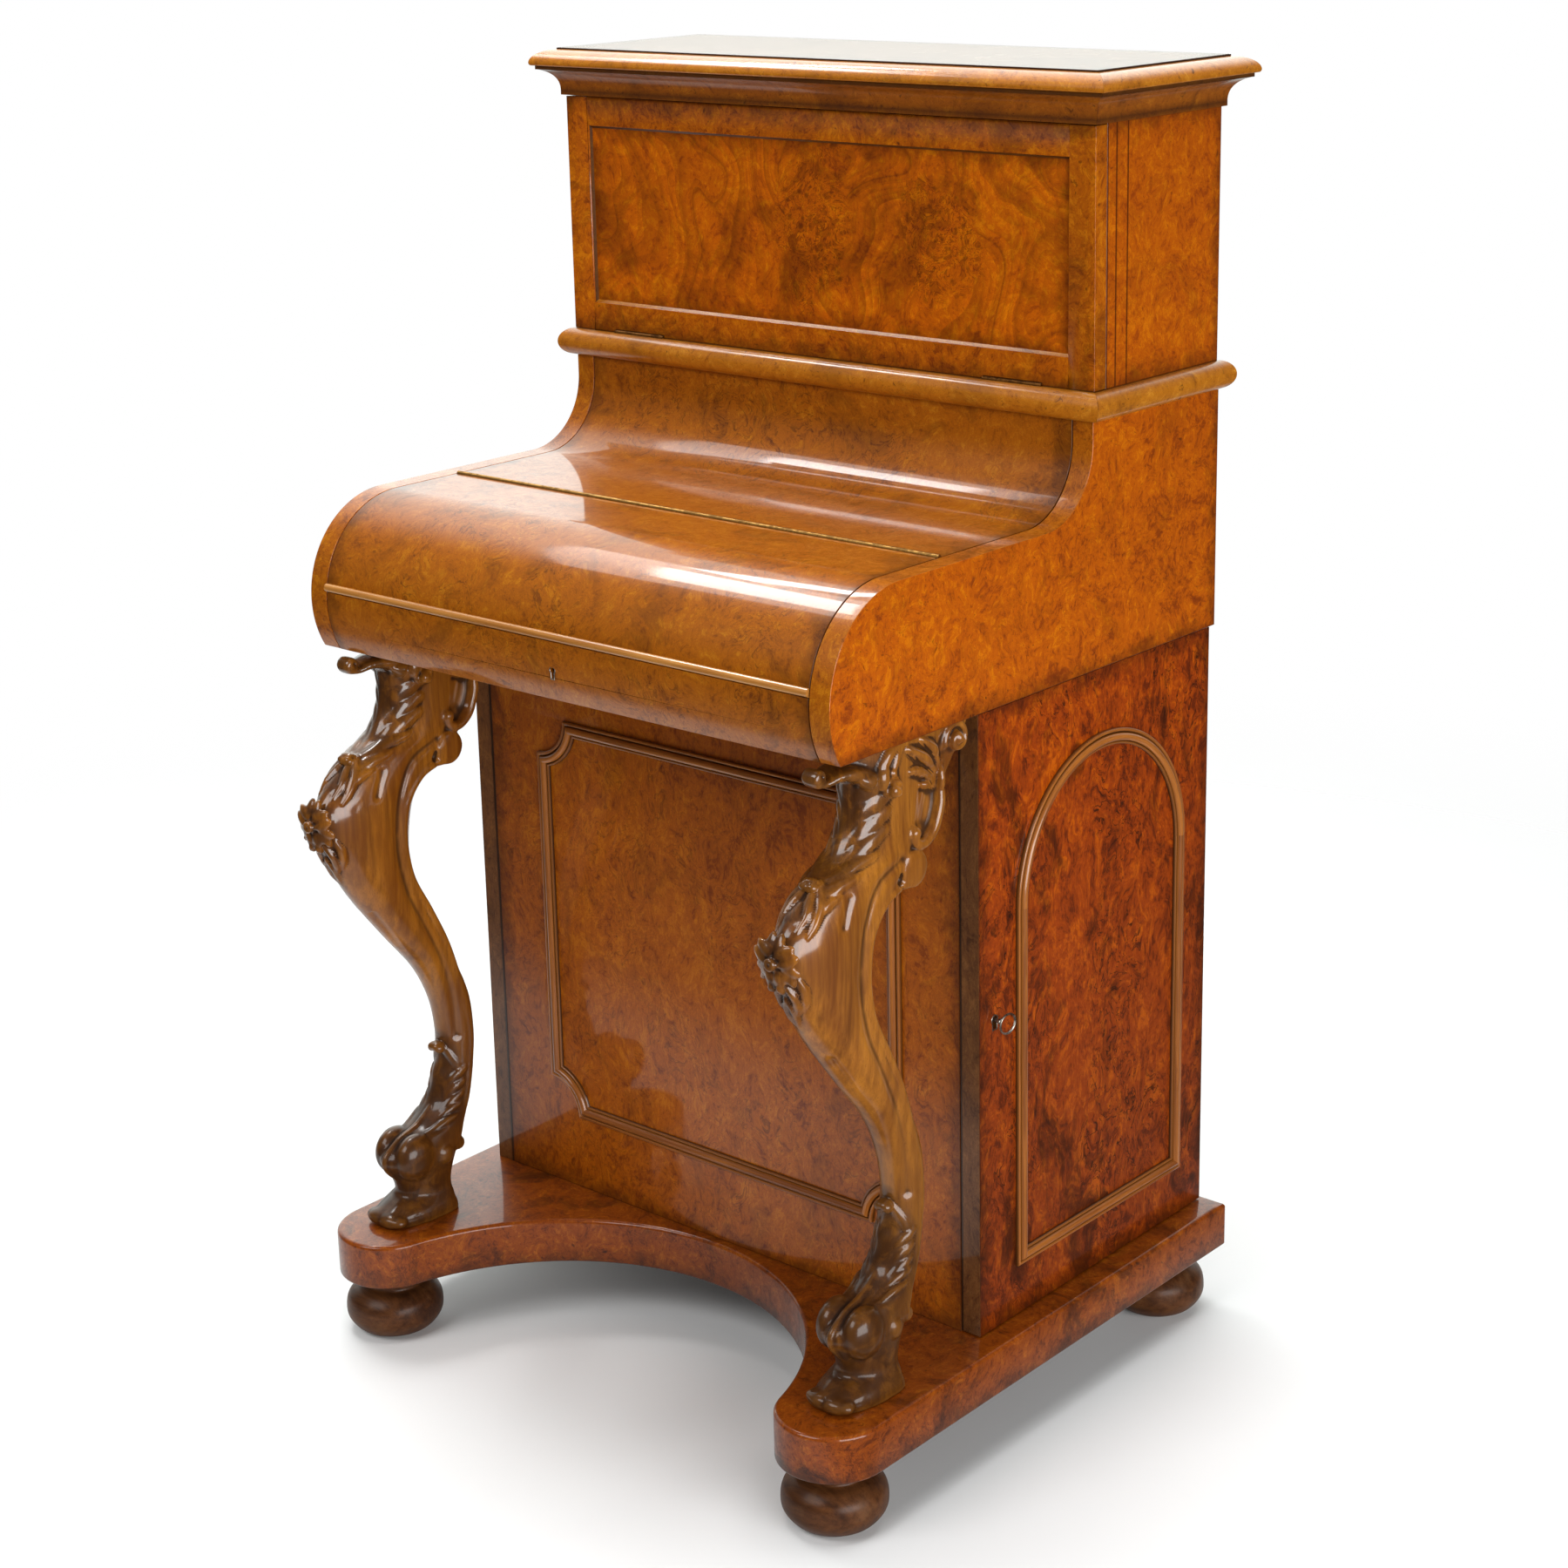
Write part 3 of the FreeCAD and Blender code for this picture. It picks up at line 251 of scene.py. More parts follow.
def sweep(path, thick, wide, count=24):
    """A ring carried along a path: half thickness across the path in the YZ plane, half width along X."""
    path = np.asarray(path, float)
    along = np.gradient(path, axis=0)
    along /= np.linalg.norm(along, axis=1, keepdims=True)
    side = np.cross(along, (1.0, 0.0, 0.0))
    side /= np.linalg.norm(side, axis=1, keepdims=True)
    level = np.cross(side, along)
    turn = circle(count)
    c, s = np.cos(turn)[None, :, None], np.sin(turn)[None, :, None]
    thick = np.broadcast_to(thick, len(path))[:, None, None]
    wide = np.broadcast_to(wide, len(path))[:, None, None]
    across = np.sign(s) * np.abs(s) ** 0.6 * wide * level[:, None]
    return skin(path[:, None] + across + np.sign(c) * np.abs(c) ** 0.8 * thick * side[:, None])


# Meshes and pieces

def mesh_of(name, shell):
    """A mesh from a shell, in metres, with every closed part facing outwards."""
    points, faces = shell
    mesh = bpy.data.meshes.new(name)
    mesh.from_pydata((points * MM).tolist(), [], faces)
    made = bmesh.new()
    made.from_mesh(mesh)
    bmesh.ops.recalc_face_normals(made, faces=made.faces)
    made.to_mesh(mesh)
    made.free()
    return mesh


def finished(obj, materials, body, nodes, sharp=38.0, bevel=0.0):
    """Smooth shading, a small round on the arrises, the finish, the body it rides on and the nodes it replaces."""
    mesh = obj.data
    mesh.polygons.foreach_set("use_smooth", np.ones(len(mesh.polygons), bool))
    mesh.set_sharp_from_angle(angle=math.radians(sharp))
    mesh.materials.clear()
    for material in materials:
        mesh.materials.append(material)
    if bevel:
        rounding = obj.modifiers.new("arris", "BEVEL")
        rounding.width = bevel * MM
        rounding.segments = 2
        rounding.limit_method = "ANGLE"
        rounding.angle_limit = math.radians(sharp)
        rounding.use_clamp_overlap = True
        flat = obj.modifiers.new("flat_faces", "WEIGHTED_NORMAL")
        flat.mode = "FACE_AREA"
        flat.keep_sharp = False
    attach(obj, body)
    if nodes:
        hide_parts(*nodes)


def placed_in_scene(name, mesh):
    obj = bpy.data.objects.new(name, mesh)
    bpy.context.scene.collection.objects.link(obj)
    return obj


def piece(name, shells, materials, body="carcass", nodes=(), sharp=38.0, bevel=0.0, rim=None):
    """A new piece from shells; rim is how many of its first faces take the second material."""
    obj = placed_in_scene(name, mesh_of(name, joined(shells)))
    finished(obj, materials, body, nodes, sharp, bevel)
    if rim is not None:
        turn = np.zeros(len(obj.data.polygons), np.int32)
        turn[:rim] = 1
        obj.data.polygons.foreach_set("material_index", turn)
    return obj


def applied(obj):
    """The object's mesh with its modifiers worked in, and the object itself removed."""
    graph = bpy.context.evaluated_depsgraph_get()
    mesh = bpy.data.meshes.new_from_object(obj.evaluated_get(graph))
    bpy.data.objects.remove(obj)
    return mesh


def cut(shell, tools):
    """A shell with other shells cut out of it, as a mesh."""
    work = placed_in_scene("work", mesh_of("work", shell))
    tool = placed_in_scene("tool", mesh_of("tool", joined(tools)))
    cutting = work.modifiers.new("cut", "BOOLEAN")
    cutting.operation = "DIFFERENCE"
    cutting.solver = "EXACT"
    cutting.use_self = True
    cutting.object = tool
    bpy.context.view_layer.update()
    mesh = applied(work)
    bpy.data.objects.remove(tool)
    return mesh


def dressed(node, material, bevel=0.4, front=None):
    """A copy of a CAD board, its triangles merged into faces and its arrises eased, that replaces the node.

    front is the material of the faces towards the front, where it is another."""
    source = frame["nodes"][node]
    mesh = source.data.copy()
    made = bmesh.new()
    made.from_mesh(mesh)
    bmesh.ops.remove_doubles(made, verts=made.verts, dist=0.00001)
    bmesh.ops.dissolve_limit(made, angle_limit=math.radians(0.5), verts=made.verts, edges=made.edges)
    made.to_mesh(mesh)
    made.free()
    obj = placed_in_scene(node + "_dressed", mesh)
    finished(obj, [material], source["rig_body"], [node], bevel=bevel)
    if front:
        mesh.materials.append(front)
        for face in mesh.polygons:
            face.material_index = int(face.normal.y < -0.9)


# Node trees

def add(tree, kind, inputs=None, **settings):
    """One node: settings are its properties, and inputs are socket values or the sockets that feed it."""
    node = tree.nodes.new(kind)
    for name, value in settings.items():
        setattr(node, name, value)
    for name, value in (inputs or {}).items():
        if isinstance(value, bpy.types.NodeSocket):
            tree.links.new(value, node.inputs[name])
        else:
            node.inputs[name].default_value = value
    return node


def feed(node, **sockets):
    """Sockets linked to a node's inputs, whose names have underscores for spaces."""
    for label, value in sockets.items():
        node.id_data.links.new(value, node.inputs[label.replace("_", " ")])


def tree_of(*values):
    """The tree of the first socket among some values."""
    return next(value.id_data for value in values if isinstance(value, bpy.types.NodeSocket))


def maths(operation, a, b=0.0, clamp=False):
    return add(tree_of(a, b), "ShaderNodeMath", {0: a, 1: b}, operation=operation, use_clamp=clamp).outputs[0]


def times(a, b, clamp=False):
    return maths("MULTIPLY", a, b, clamp)


def minus(a, b):
    return maths("SUBTRACT", a, b)


def total(first, *others):
    for other in others:
        first = maths("ADD", first, other)
    return first


def vectors(operation, a, b=(0.0, 0.0, 0.0), out=0):
    return add(tree_of(a, b), "ShaderNodeVectorMath", {0: a, 1: b}, operation=operation).outputs[out]


def part(vector, axis):
    return add(tree_of(vector), "ShaderNodeSeparateXYZ", {0: vector}).outputs[axis]


def spread(value, low, high, to_low=0.0, to_high=1.0):
    """A value's range between low and high, eased to another range."""
    inputs = {"Value": value, "From Min": low, "From Max": high, "To Min": to_low, "To Max": to_high}
    return add(tree_of(value), "ShaderNodeMapRange", inputs, interpolation_type="SMOOTHSTEP").outputs[0]


def blended(share, a, b):
    return add(tree_of(share), "ShaderNodeMix", {0: share, 6: a, 7: b}, data_type="RGBA").outputs[2]


def stained(tone, dark, strength, mask, within=None):
    """A tone blended to a dark one by a mask times a strength, and within another mask where that is given."""
    return blended(times(times(mask, within) if within else mask, strength), tone, dark)


def noise(place, scale, detail=3.0, roughness=0.5, distortion=0.0, out=0):
    inputs = {"Vector": place, "Scale": scale, "Detail": detail, "Roughness": roughness, "Distortion": distortion}
    return add(tree_of(place), "ShaderNodeTexNoise", inputs).outputs[out]


def cells(place, scale):
    """Distance from the nearest of scattered points."""
    return add(tree_of(place), "ShaderNodeTexVoronoi", {"Vector": place, "Scale": scale}).outputs["Distance"]


def mapped(place, stretch, turn=(0, 0, 0), shift=(0, 0, 0)):
    """Coordinates stretched, turned in degrees and shifted."""
    inputs = {"Vector": place, "Scale": stretch, "Rotation": tuple(np.radians(turn)), "Location": shift}
    return add(tree_of(place), "ShaderNodeMapping", inputs).outputs[0]


def contour_lines(field, levels, fade):
    """Lines where a field crosses whole levels, dark on one side and fading away on the other."""
    wave = maths("FRACT", times(field, levels))
    return maths("POWER", spread(wave, 0.0, fade, 1.0, 0.0), 1.6)


def node_group(name, inputs, outputs):
    """An empty group with sockets named by kind: its tree, the sockets that come in and the node that goes out."""
    tree = bpy.data.node_groups.new(name, "ShaderNodeTree")
    for way, kinds in (("INPUT", inputs), ("OUTPUT", outputs)):
        for kind, labels in kinds.items():
            for label in labels.split():
                tree.interface.new_socket(label, in_out=way, socket_type="NodeSocket" + kind)
    return tree, add(tree, "NodeGroupInput").outputs, add(tree, "NodeGroupOutput")


WOOD_OUTPUTS = {"Color": "Color", "Float": "Height Roughness"}


def burr_figure():
    """Burr veneer: warped clouds and fibres between three colours, contour lines, blotches, specks and pores."""
    tree, given, out = node_group("burr_figure", {"Vector": "Place", "Color": "Deep Mid Light Dark",
                                                  "Float": "Contrast Lines Blotches Specks"}, WOOD_OUTPUTS)
    place, dark = given["Place"], given["Dark"]
    swirl = vectors("SUBTRACT", noise(place, 18.0, out="Color"), (0.5, 0.5, 0.5))
    warped = vectors("ADD", place, vectors("MULTIPLY", swirl, (0.05, 0.05, 0.05)))
    clouds = noise(warped, 60.0, 5.0, 0.6, 0.6)
    mottle = noise(warped, 210.0, 4.0, 0.65, 0.8)
    fibres = noise(mapped(warped, (620.0, 620.0, 120.0)), 1.0, 3.0, 0.6)
    drift = noise(place, 6.0, 2.0)
    tone = total(times(clouds, 0.36), times(mottle, 0.36), times(fibres, 0.16), times(drift, 0.12))
    tone = total(times(minus(tone, 0.5), given["Contrast"]), 0.5)
    wood = blended(spread(tone, 0.36, 0.50), given["Deep"], given["Mid"])
    wood = blended(spread(tone, 0.50, 0.64), wood, given["Light"])
    blotch = spread(noise(warped, 17.0, 5.0, 0.68, 0.6), 0.50, 0.66)
    line = contour_lines(noise(warped, 26.0, 4.0, 0.6, 1.5), 8.0, 0.3)
    line = times(line, spread(noise(place, 13.0, 3.0, 0.6), 0.42, 0.58))
    crowd = spread(noise(place, 22.0, 4.0, 0.65), 0.52, 0.66)
    speck = times(spread(cells(warped, 120.0), 0.08, 0.24, 1.0, 0.0), crowd)
    fleck = spread(noise(warped, 240.0, 3.0, 0.62, 1.6), 0.60, 0.70)
    speck = maths("MAXIMUM", speck, times(fleck, 0.7))
    for mask, strength in ((blotch, "Blotches"), (line, "Lines"), (speck, "Specks")):
        wood = blended(times(mask, given[strength], clamp=True), wood, dark)
    pores = noise(place, 1100.0, 2.0, 0.6)
    ripple = noise(place, 14.0, 2.0)
    feed(out, Color=blended(spread(pores, 0.35, 0.7, 0.2, 0.0), wood, dark),
         Height=total(times(pores, 0.12), ripple), Roughness=spread(tone, 0.35, 0.65, 0.42, 0.30))
    return tree


def straight_grain():
    """Straight walnut grain: noise drawn out along the first axis, in broad bands, streaks and short pores."""
    tree, given, out = node_group("straight_grain", {"Vector": "Place", "Color": "Deep Light"}, WOOD_OUTPUTS)
    place = given["Place"]
    bands = noise(mapped(place, (1.6, 26.0, 26.0)), 1.0, 4.0, 0.6, 0.6)
    streaks = noise(mapped(place, (9.0, 220.0, 220.0)), 1.0, 3.0, 0.6, 0.2)
    pores = noise(mapped(place, (60.0, 1300.0, 1300.0)), 1.0, 2.0, 0.6)
    tone = total(times(bands, 0.6), times(streaks, 0.4))
    wood = blended(spread(tone, 0.34, 0.66), given["Deep"], given["Light"])
    feed(out, Color=blended(spread(pores, 0.54, 0.72, 0.0, 0.55), wood, given["Deep"]),
         Height=minus(streaks, times(pores, 0.6)), Roughness=spread(tone, 0.3, 0.7, 0.42, 0.28))
    return tree


def edge_patina_and_shade():
    """Old polish, dirt and painted shade along a board's edges: full at the nearest edge, gone raggedly a finger's
    width away.
    """
    tree, given, out = node_group("edge_patina_and_shade", {"Vector": "Place Low High"}, {"Float": "Mask"})
    place = given["Place"]
    above, below = vectors("SUBTRACT", place, given["Low"]), vectors("SUBTRACT", given["High"], place)
    inside = vectors("MINIMUM", above, below)
    edge = maths("MINIMUM", maths("MINIMUM", part(inside, "X"), part(inside, "Y")), part(inside, "Z"))
    ragged = times(minus(noise(place, 45.0, 5.0, 0.65), 0.5), 0.05)
    mask = times(spread(total(edge, ragged), -0.004, 0.020, 1.0, 0.0), 0.6)
    line = times(spread(edge, 0.0004, 0.0024, 1.0, 0.0), 0.75)
    feed(out, Mask=maths("MAXIMUM", mask, line))
    return tree


BURR = burr_figure()
GRAIN = straight_grain()
PATINA_AND_SHADE = edge_patina_and_shade()


# Materials

def colour(red, green, blue):
    """A colour from its screen values of 0 to 255."""
    screen = np.array([red, green, blue]) / 255.0
    linear = np.where(screen <= 0.04045, screen / 12.92, ((screen + 0.055) / 1.055) ** 2.4)
    return tuple(linear) + (1.0,)


def blank(name, **sockets):
    """A material and its Principled shader, whose plain sockets are set on it."""
    material = bpy.data.materials.new(name)
    material.use_nodes = True
    shader = material.node_tree.nodes["Principled BSDF"]
    for label, value in sockets.items():
        shader.inputs[label.replace("_", " ")].default_value = value
    return material, shader


def here(shader):
    """Object coordinates, in a shader's tree."""
    return add(shader.id_data, "ShaderNodeTexCoord").outputs["Object"]


def mark(shader, name, out="Fac"):
    """An attribute of the mesh, in a shader's tree."""
    return add(shader.id_data, "ShaderNodeAttribute", attribute_name=name).outputs[out]


def filled(shader, group, **inputs):
    """What a group puts out in a shader's tree, from its named inputs."""
    return add(shader.id_data, "ShaderNodeGroup", inputs, node_tree=group).outputs


def burr(shader, place, tones, figure):
    """The burr group: deep, middle, light and dark colours, and contrast, lines, blotches and specks."""
    labels = ("Deep", "Mid", "Light", "Dark", "Contrast", "Lines", "Blotches", "Specks")
    return filled(shader, BURR, Place=place, **dict(zip(labels, [colour(*tone) for tone in tones] + list(figure))))


def grain(shader, place, deep, light):
    return filled(shader, GRAIN, Place=place, Deep=colour(*deep), Light=colour(*light))


def finish(shader, tone, roughness, height, distance, strength):
    """A shader's colour and roughness, and a bump of its height."""
    bump = add(shader.id_data, "ShaderNodeBump", {"Height": height, "Distance": distance, "Strength": strength})
    feed(shader, Base_Color=tone, Roughness=roughness, Normal=bump.outputs[0])


# A board's corner where no edge is near.
FAR = 10000.0


def burr_walnut(name, tones, figure, shift=(0, 0, 0), stretch=(1, 1, 1), extra=None, edges=None):
    """Polished burr veneer, then extra(place, tone, dark), then old polish, dirt and painted shade along the edges
    that two corners give.
    """
    material, shader = blank(name, Coat_Weight=0.8, Coat_Roughness=0.06, Coat_IOR=1.38, Specular_IOR_Level=0.15)
    place, dark = here(shader), colour(*tones[-1])
    veneer = burr(shader, mapped(place, stretch, shift=shift), tones, figure)
    tone = veneer["Color"]
    if extra:
        tone = extra(place, tone, dark)
    if edges:
        low, high = (tuple(np.asarray(corner) * MM) for corner in edges)
        tone = blended(filled(shader, PATINA_AND_SHADE, Place=place, Low=low, High=high)["Mask"], tone, dark)
    finish(shader, tone, veneer["Roughness"], veneer["Height"], 0.0004, 0.03)
    return material


def fall_streaks(place, tone, dark):
    """Soft streaks that run steeply down and bend round two burr clusters full of squiggles and dark eyes."""
    slant = vectors("DOT_PRODUCT", place, (0.8, 0.0, 0.5), "Value")
    field = total(slant, times(noise(place, 7.5, 1.5, 0.5, 0.4), 0.36))
    rough = times(minus(noise(place, 40.0, 4.0, 0.65), 0.5), 1.5)
    knots = []
    for x, z, wide, high, pull in FALL_CLUSTERS:
        near = vectors("SUBTRACT", place, (x * MM, 0.0, z * MM))
        away = vectors("LENGTH", vectors("MULTIPLY", near, (1 / (wide * MM), 0.0, 1 / (high * MM))), out="Value")
        field = total(field, times(spread(away, 2.6, 0.0), pull))
        knots.append(spread(total(away, rough), 1.15, 0.75))
    knot = maths("MAXIMUM", *knots)
    tone = stained(tone, dark, 0.48, spread(noise(place, 12.0, 5.0, 0.62, 0.9), 0.46, 0.66))
    for levels, fade, strength in ((17.0, 0.95, 0.26), (58.0, 0.9, 0.20), (9.0, 0.06, 0.34)):
        tone = stained(tone, dark, strength, contour_lines(field, levels, fade), minus(1.0, knot))
    curl = noise(place, 38.0, 3.0, 0.6, 2.6)
    tone = stained(tone, dark, 0.45, spread(curl, 0.46, 0.66), knot)
    eyes = maths("MAXIMUM", spread(cells(place, 85.0), 0.08, 0.30, 1.0, 0.2), contour_lines(curl, 9.0, 0.7))
    return stained(tone, dark, 0.7, eyes, knot)


def joint_lines(axis, spots, wide):
    """Thin dark joints on a veneer, at distances along an axis from the desk's middle, on both sides of it."""
    def drawn(place, tone, dark):
        out = maths("ABSOLUTE", part(place, axis))
        for spot in spots:
            away = maths("ABSOLUTE", minus(out, spot * MM))
            tone = blended(spread(away, wide * MM / 4, wide * MM, 0.85, 0.0), tone, dark)
        return tone
    return drawn


def pedestal_shade_and_old_polish(place, tone, dark):
    """A tone that darkens evenly down the pedestal: painted shade towards the floor, and dirtier old polish there.
    """
    return blended(spread(part(place, "Z"), z_pedestal * MM, z_case * MM, 0.36, 0.0), tone, dark)


def boards_edges(node):
    """A CAD board's corners, with no edge along its thinnest side."""
    low, high = box(node)
    thin = np.argmin(high - low)
    low[thin], high[thin] = -FAR, FAR
    return low, high


# The turn that brings an axis of the desk to the grain's first.
ALONG = {"x": (0, 0, 0), "y": (0, 0, -90), "z": (0, 90, 0)}


def grained(name, deep, light, axis):
    """Plain straight-grained wood, its grain along an axis."""
    material, shader = blank(name, Specular_IOR_Level=0.3)
    wood = grain(shader, mapped(here(shader), (1, 1, 1), ALONG[axis]), deep, light)
    finish(shader, wood["Color"], wood["Roughness"], wood["Height"], 0.0003, 0.25)
    return material


def run_moulding(name, tones, figure=None):
    """Wood of a moulding: straight grain along its run, or burr where a figure is given, with painted shade in its
    grooves.

    The grain attribute gives the length along the run, the distance round the section and the painted shade."""
    material, shader = blank(name, Coat_Weight=1.0, Coat_Roughness=0.10, Coat_IOR=1.42, Specular_IOR_Level=0.25)
    place = mark(shader, "grain", "Vector")
    if figure:
        wood = burr(shader, vectors("MULTIPLY", place, (1.0, 1.0, 0.0)), tones, figure)
    else:
        wood = grain(shader, place, *tones[:2])
    # Painted shade from the grain attribute's third value, in the dark colour.
    tone = blended(part(place, "Z"), wood["Color"], colour(*tones[-1]))
    finish(shader, tone, wood["Roughness"], wood["Height"], 0.0003, 0.04)
    return material


def carved_walnut():
    """Solid walnut of the legs: clouded straight grain, dark on its leaves and foot, with dirt and painted shade
    in its hollows and a painted highlight on its crests.
    """
    material, shader = blank("carved_walnut", Coat_Roughness=0.13, Coat_IOR=1.5, Specular_IOR_Level=0.15)
    place = here(shader)
    height, hollow = part(place, "Z"), mark(shader, "hollow")
    wood = grain(shader, mapped(place, (1, 1, 1), ALONG["z"]), (98, 52, 8), (164, 102, 26))
    cloud = spread(noise(mapped(place, (1.0, 1.0, 0.35)), 32.0, 4.0, 0.6, 0.8), 0.36, 0.66)
    rubbed = spread(noise(place, 55.0, 5.0, 0.65, 0.6), 0.44, 0.62, 1.0, 0.4)
    dirt_and_shade, crest = spread(hollow, 0.56, 0.90), spread(hollow, 0.42, 0.10)
    tone = stained(wood["Color"], colour(104, 52, 8), 0.5, cloud)
    tone = stained(tone, colour(52, 26, 7), 0.88, mark(shader, "stain"), rubbed)
    tone = blended(spread(height, 0.42, 0.16, 0.0, 0.62), tone, colour(50, 26, 7))
    # Dirt and painted shade in the hollows, then a painted highlight on the crests.
    tone = stained(tone, colour(30, 14, 5), 0.85, dirt_and_shade)
    tone = stained(tone, colour(150, 96, 36), 0.18, crest)
    finish(shader, tone, spread(hollow, 0.3, 0.9, 0.38, 0.7), wood["Height"], 0.0002, 0.1)
    feed(shader, Coat_Weight=times(spread(dirt_and_shade, 0.0, 1.0, 1.0, 0.15), spread(height, 0.34, 0.14, 1.0, 0.4)))
    return material


def turned_walnut():
    """Dark turned walnut of the bun feet, rubbed pale in patches."""
    material, shader = blank("turned_walnut", Coat_Weight=0.08, Coat_Roughness=0.2, Coat_IOR=1.4,
                             Specular_IOR_Level=0.15)
    place = here(shader)
    wood = grain(shader, place, (48, 24, 10), (88, 52, 26))
    rubbed = spread(noise(place, 40.0, 5.0, 0.65), 0.52, 0.72)
    tone = stained(wood["Color"], colour(122, 84, 52), 0.25, rubbed)
    finish(shader, tone, spread(rubbed, 0.0, 1.0, 0.36, 0.55), wood["Height"], 0.0003, 0.3)
    return material


def aged_metal(name, clean, dull, roughness):
    """Metal with a clouded tarnish that is also rougher."""
    material, shader = blank(name, Metallic=1.0)
    place = here(shader)
    cloud = spread(noise(place, 160.0, 5.0, 0.65), 0.4, 0.65)
    tone = blended(cloud, colour(*clean), colour(*dull))
    finish(shader, tone, spread(cloud, 0.0, 1.0, roughness, roughness + 0.2), noise(place, 700.0), 0.0002, 0.15)
    return material


def desk_leather():
    """Dark green writing leather: small pebbled cells and a worn, paler middle."""
    material, shader = blank("desk_leather", Specular_IOR_Level=0.35)
    place = here(shader)
    pebbles = cells(place, 650.0)
    worn = spread(noise(place, 7.0, 4.0, 0.6), 0.4, 0.7)
    tone = blended(worn, colour(24, 44, 30), colour(48, 72, 50))
    tone = blended(spread(pebbles, 0.3, 0.7, 0.0, 0.5), tone, colour(12, 24, 16))
    finish(shader, tone, spread(worn, 0.0, 1.0, 0.5, 0.38), pebbles, 0.0003, 0.5)
    return material


# Each veneer's edges darken with old polish and dirt, and with painted shade in recesses and under the cornice.
burr_case = burr_walnut(
    "burr_case", ((136, 56, 1), (180, 85, 1), (204, 111, 4), (62, 23, 1)), (1.3, 0.3, 0.24, 0.85),
    edges=((-FAR, -FAR, z_case), (FAR, y_cheek_back, FAR)))
burr_upper = burr_walnut(
    "burr_upper", ((144, 59, 1), (178, 84, 1), (200, 107, 4), (68, 25, 1)), (1.4, 0.25, 0.2, 0.6), (0.5, 0.1, 0.6),
    extra=joint_lines("Y", CROSSBAND_JOINTS, 1.6), edges=((-FAR, -FAR, z_upper), (FAR, y_back, z_cornice)))
burr_lid = burr_walnut(
    "burr_lid", ((118, 58, 2), (158, 86, 7), (182, 112, 20), (58, 26, 2)), (1.0, 0.6, 0.35, 0.45),
    (0.31, 0.2, 0.11), edges=((-x_lid, -FAR, -FAR), (x_lid, FAR, FAR)))
burr_fall = burr_walnut(
    "burr_fall", ((156, 66, 1), (200, 98, 2), (222, 126, 6), (70, 27, 1)), (1.2, 0.1, 0.1, 0.35), (0.2, 0.0, 0.4),
    extra=fall_streaks, edges=boards_edges("fall_panel"))
burr_frame = burr_walnut(
    "burr_frame", ((130, 57, 2), (172, 87, 4), (196, 112, 10), (50, 20, 2)), (1.4, 0.2, 0.35, 0.7),
    (0.2, 0.5, 0.9), edges=((-FAR, -FAR, z_upper), (FAR, FAR, z_cornice)))
burr_door = burr_walnut(
    "burr_door", ((98, 33, 1), (150, 58, 2), (186, 86, 4), (36, 11, 1)), (1.5, 1.0, 0.75, 0.6), (0.1, 0.6, 0.3),
    (1, 1, 0.6), pedestal_shade_and_old_polish, ((-FAR, y_pedestal, z_pedestal), (FAR, y_back, z_case)))
burr_front = burr_walnut(
    "burr_front", ((116, 50, 2), (152, 75, 4), (174, 96, 11), (48, 19, 2)), (1.3, 0.5, 0.25, 0.5), (0.4, 0.3, 0.8),
    (1, 1, 0.7), edges=((-x_carcass, -FAR, z_pedestal), (x_carcass, FAR, z_case)))
burr_plinth = burr_walnut(
    "burr_plinth", ((88, 35, 3), (128, 58, 6), (154, 82, 14), (32, 12, 2)), (1.2, 0.4, 0.6, 0.8), (0.9, 0.1, 0.2),
    edges=((-FAR, -FAR, z_plinth), (FAR, FAR, FAR)))
burr_top = burr_walnut(
    "burr_top", ((92, 46, 4), (122, 68, 10), (146, 90, 20), (50, 22, 3)), (1.0, 0.4, 0.3, 0.5), (0.15, 0.85, 0.5),
    edges=boards_edges("top_board"))
crossband = burr_walnut(
    "crossband", ((120, 58, 2), (160, 86, 6), (184, 110, 16), (66, 28, 2)), (1.4, 0.1, 0.2, 0.6), (0.6, 0.2, 0.7))
post_walnut = burr_walnut(
    "post_walnut", ((74, 40, 16), (104, 62, 28), (124, 78, 38), (22, 9, 3)), (1.2, 0.2, 0.3, 0.6), (0.3, 0.4, 0.1),
    (1, 1, 0.5), joint_lines("X", (x_carcass + 1.0,), 2.4))
CORNICE_FIGURE = (0.9, 0.2, 0.25, 0.9)
cornice_walnut = run_moulding(
    "cornice_walnut", ((138, 74, 8), (180, 108, 18), (206, 138, 40), (46, 18, 3)), CORNICE_FIGURE)
cove_walnut = run_moulding(
    "cove_walnut", ((104, 48, 5), (146, 78, 10), (174, 104, 22), (34, 13, 3)), CORNICE_FIGURE)
moulding_walnut = run_moulding("moulding_walnut", ((106, 53, 13), (172, 104, 40), (28, 12, 4)))
lip_walnut = run_moulding("lip_walnut", ((150, 92, 32), (206, 146, 72), (34, 14, 3)))
carcass_walnut = grained("carcass_walnut", (98, 54, 20), (142, 88, 40), "z")
drawer_wood = grained("drawer_wood", (138, 84, 40), (186, 130, 76), "y")
shelf_wood = grained("shelf_wood", (128, 72, 30), (174, 112, 58), "x")
leg_walnut = carved_walnut()
foot_walnut = turned_walnut()
brass = aged_metal("brass", (176, 136, 70), (96, 66, 30), 0.32)
dark_brass = aged_metal("dark_brass", (160, 120, 62), (132, 96, 48), 0.4)
brown_brass = aged_metal("brown_brass", (112, 72, 32), (80, 48, 20), 0.5)
steel = aged_metal("steel", (176, 170, 160), (92, 80, 68), 0.3)
leather = desk_leather()


# Base

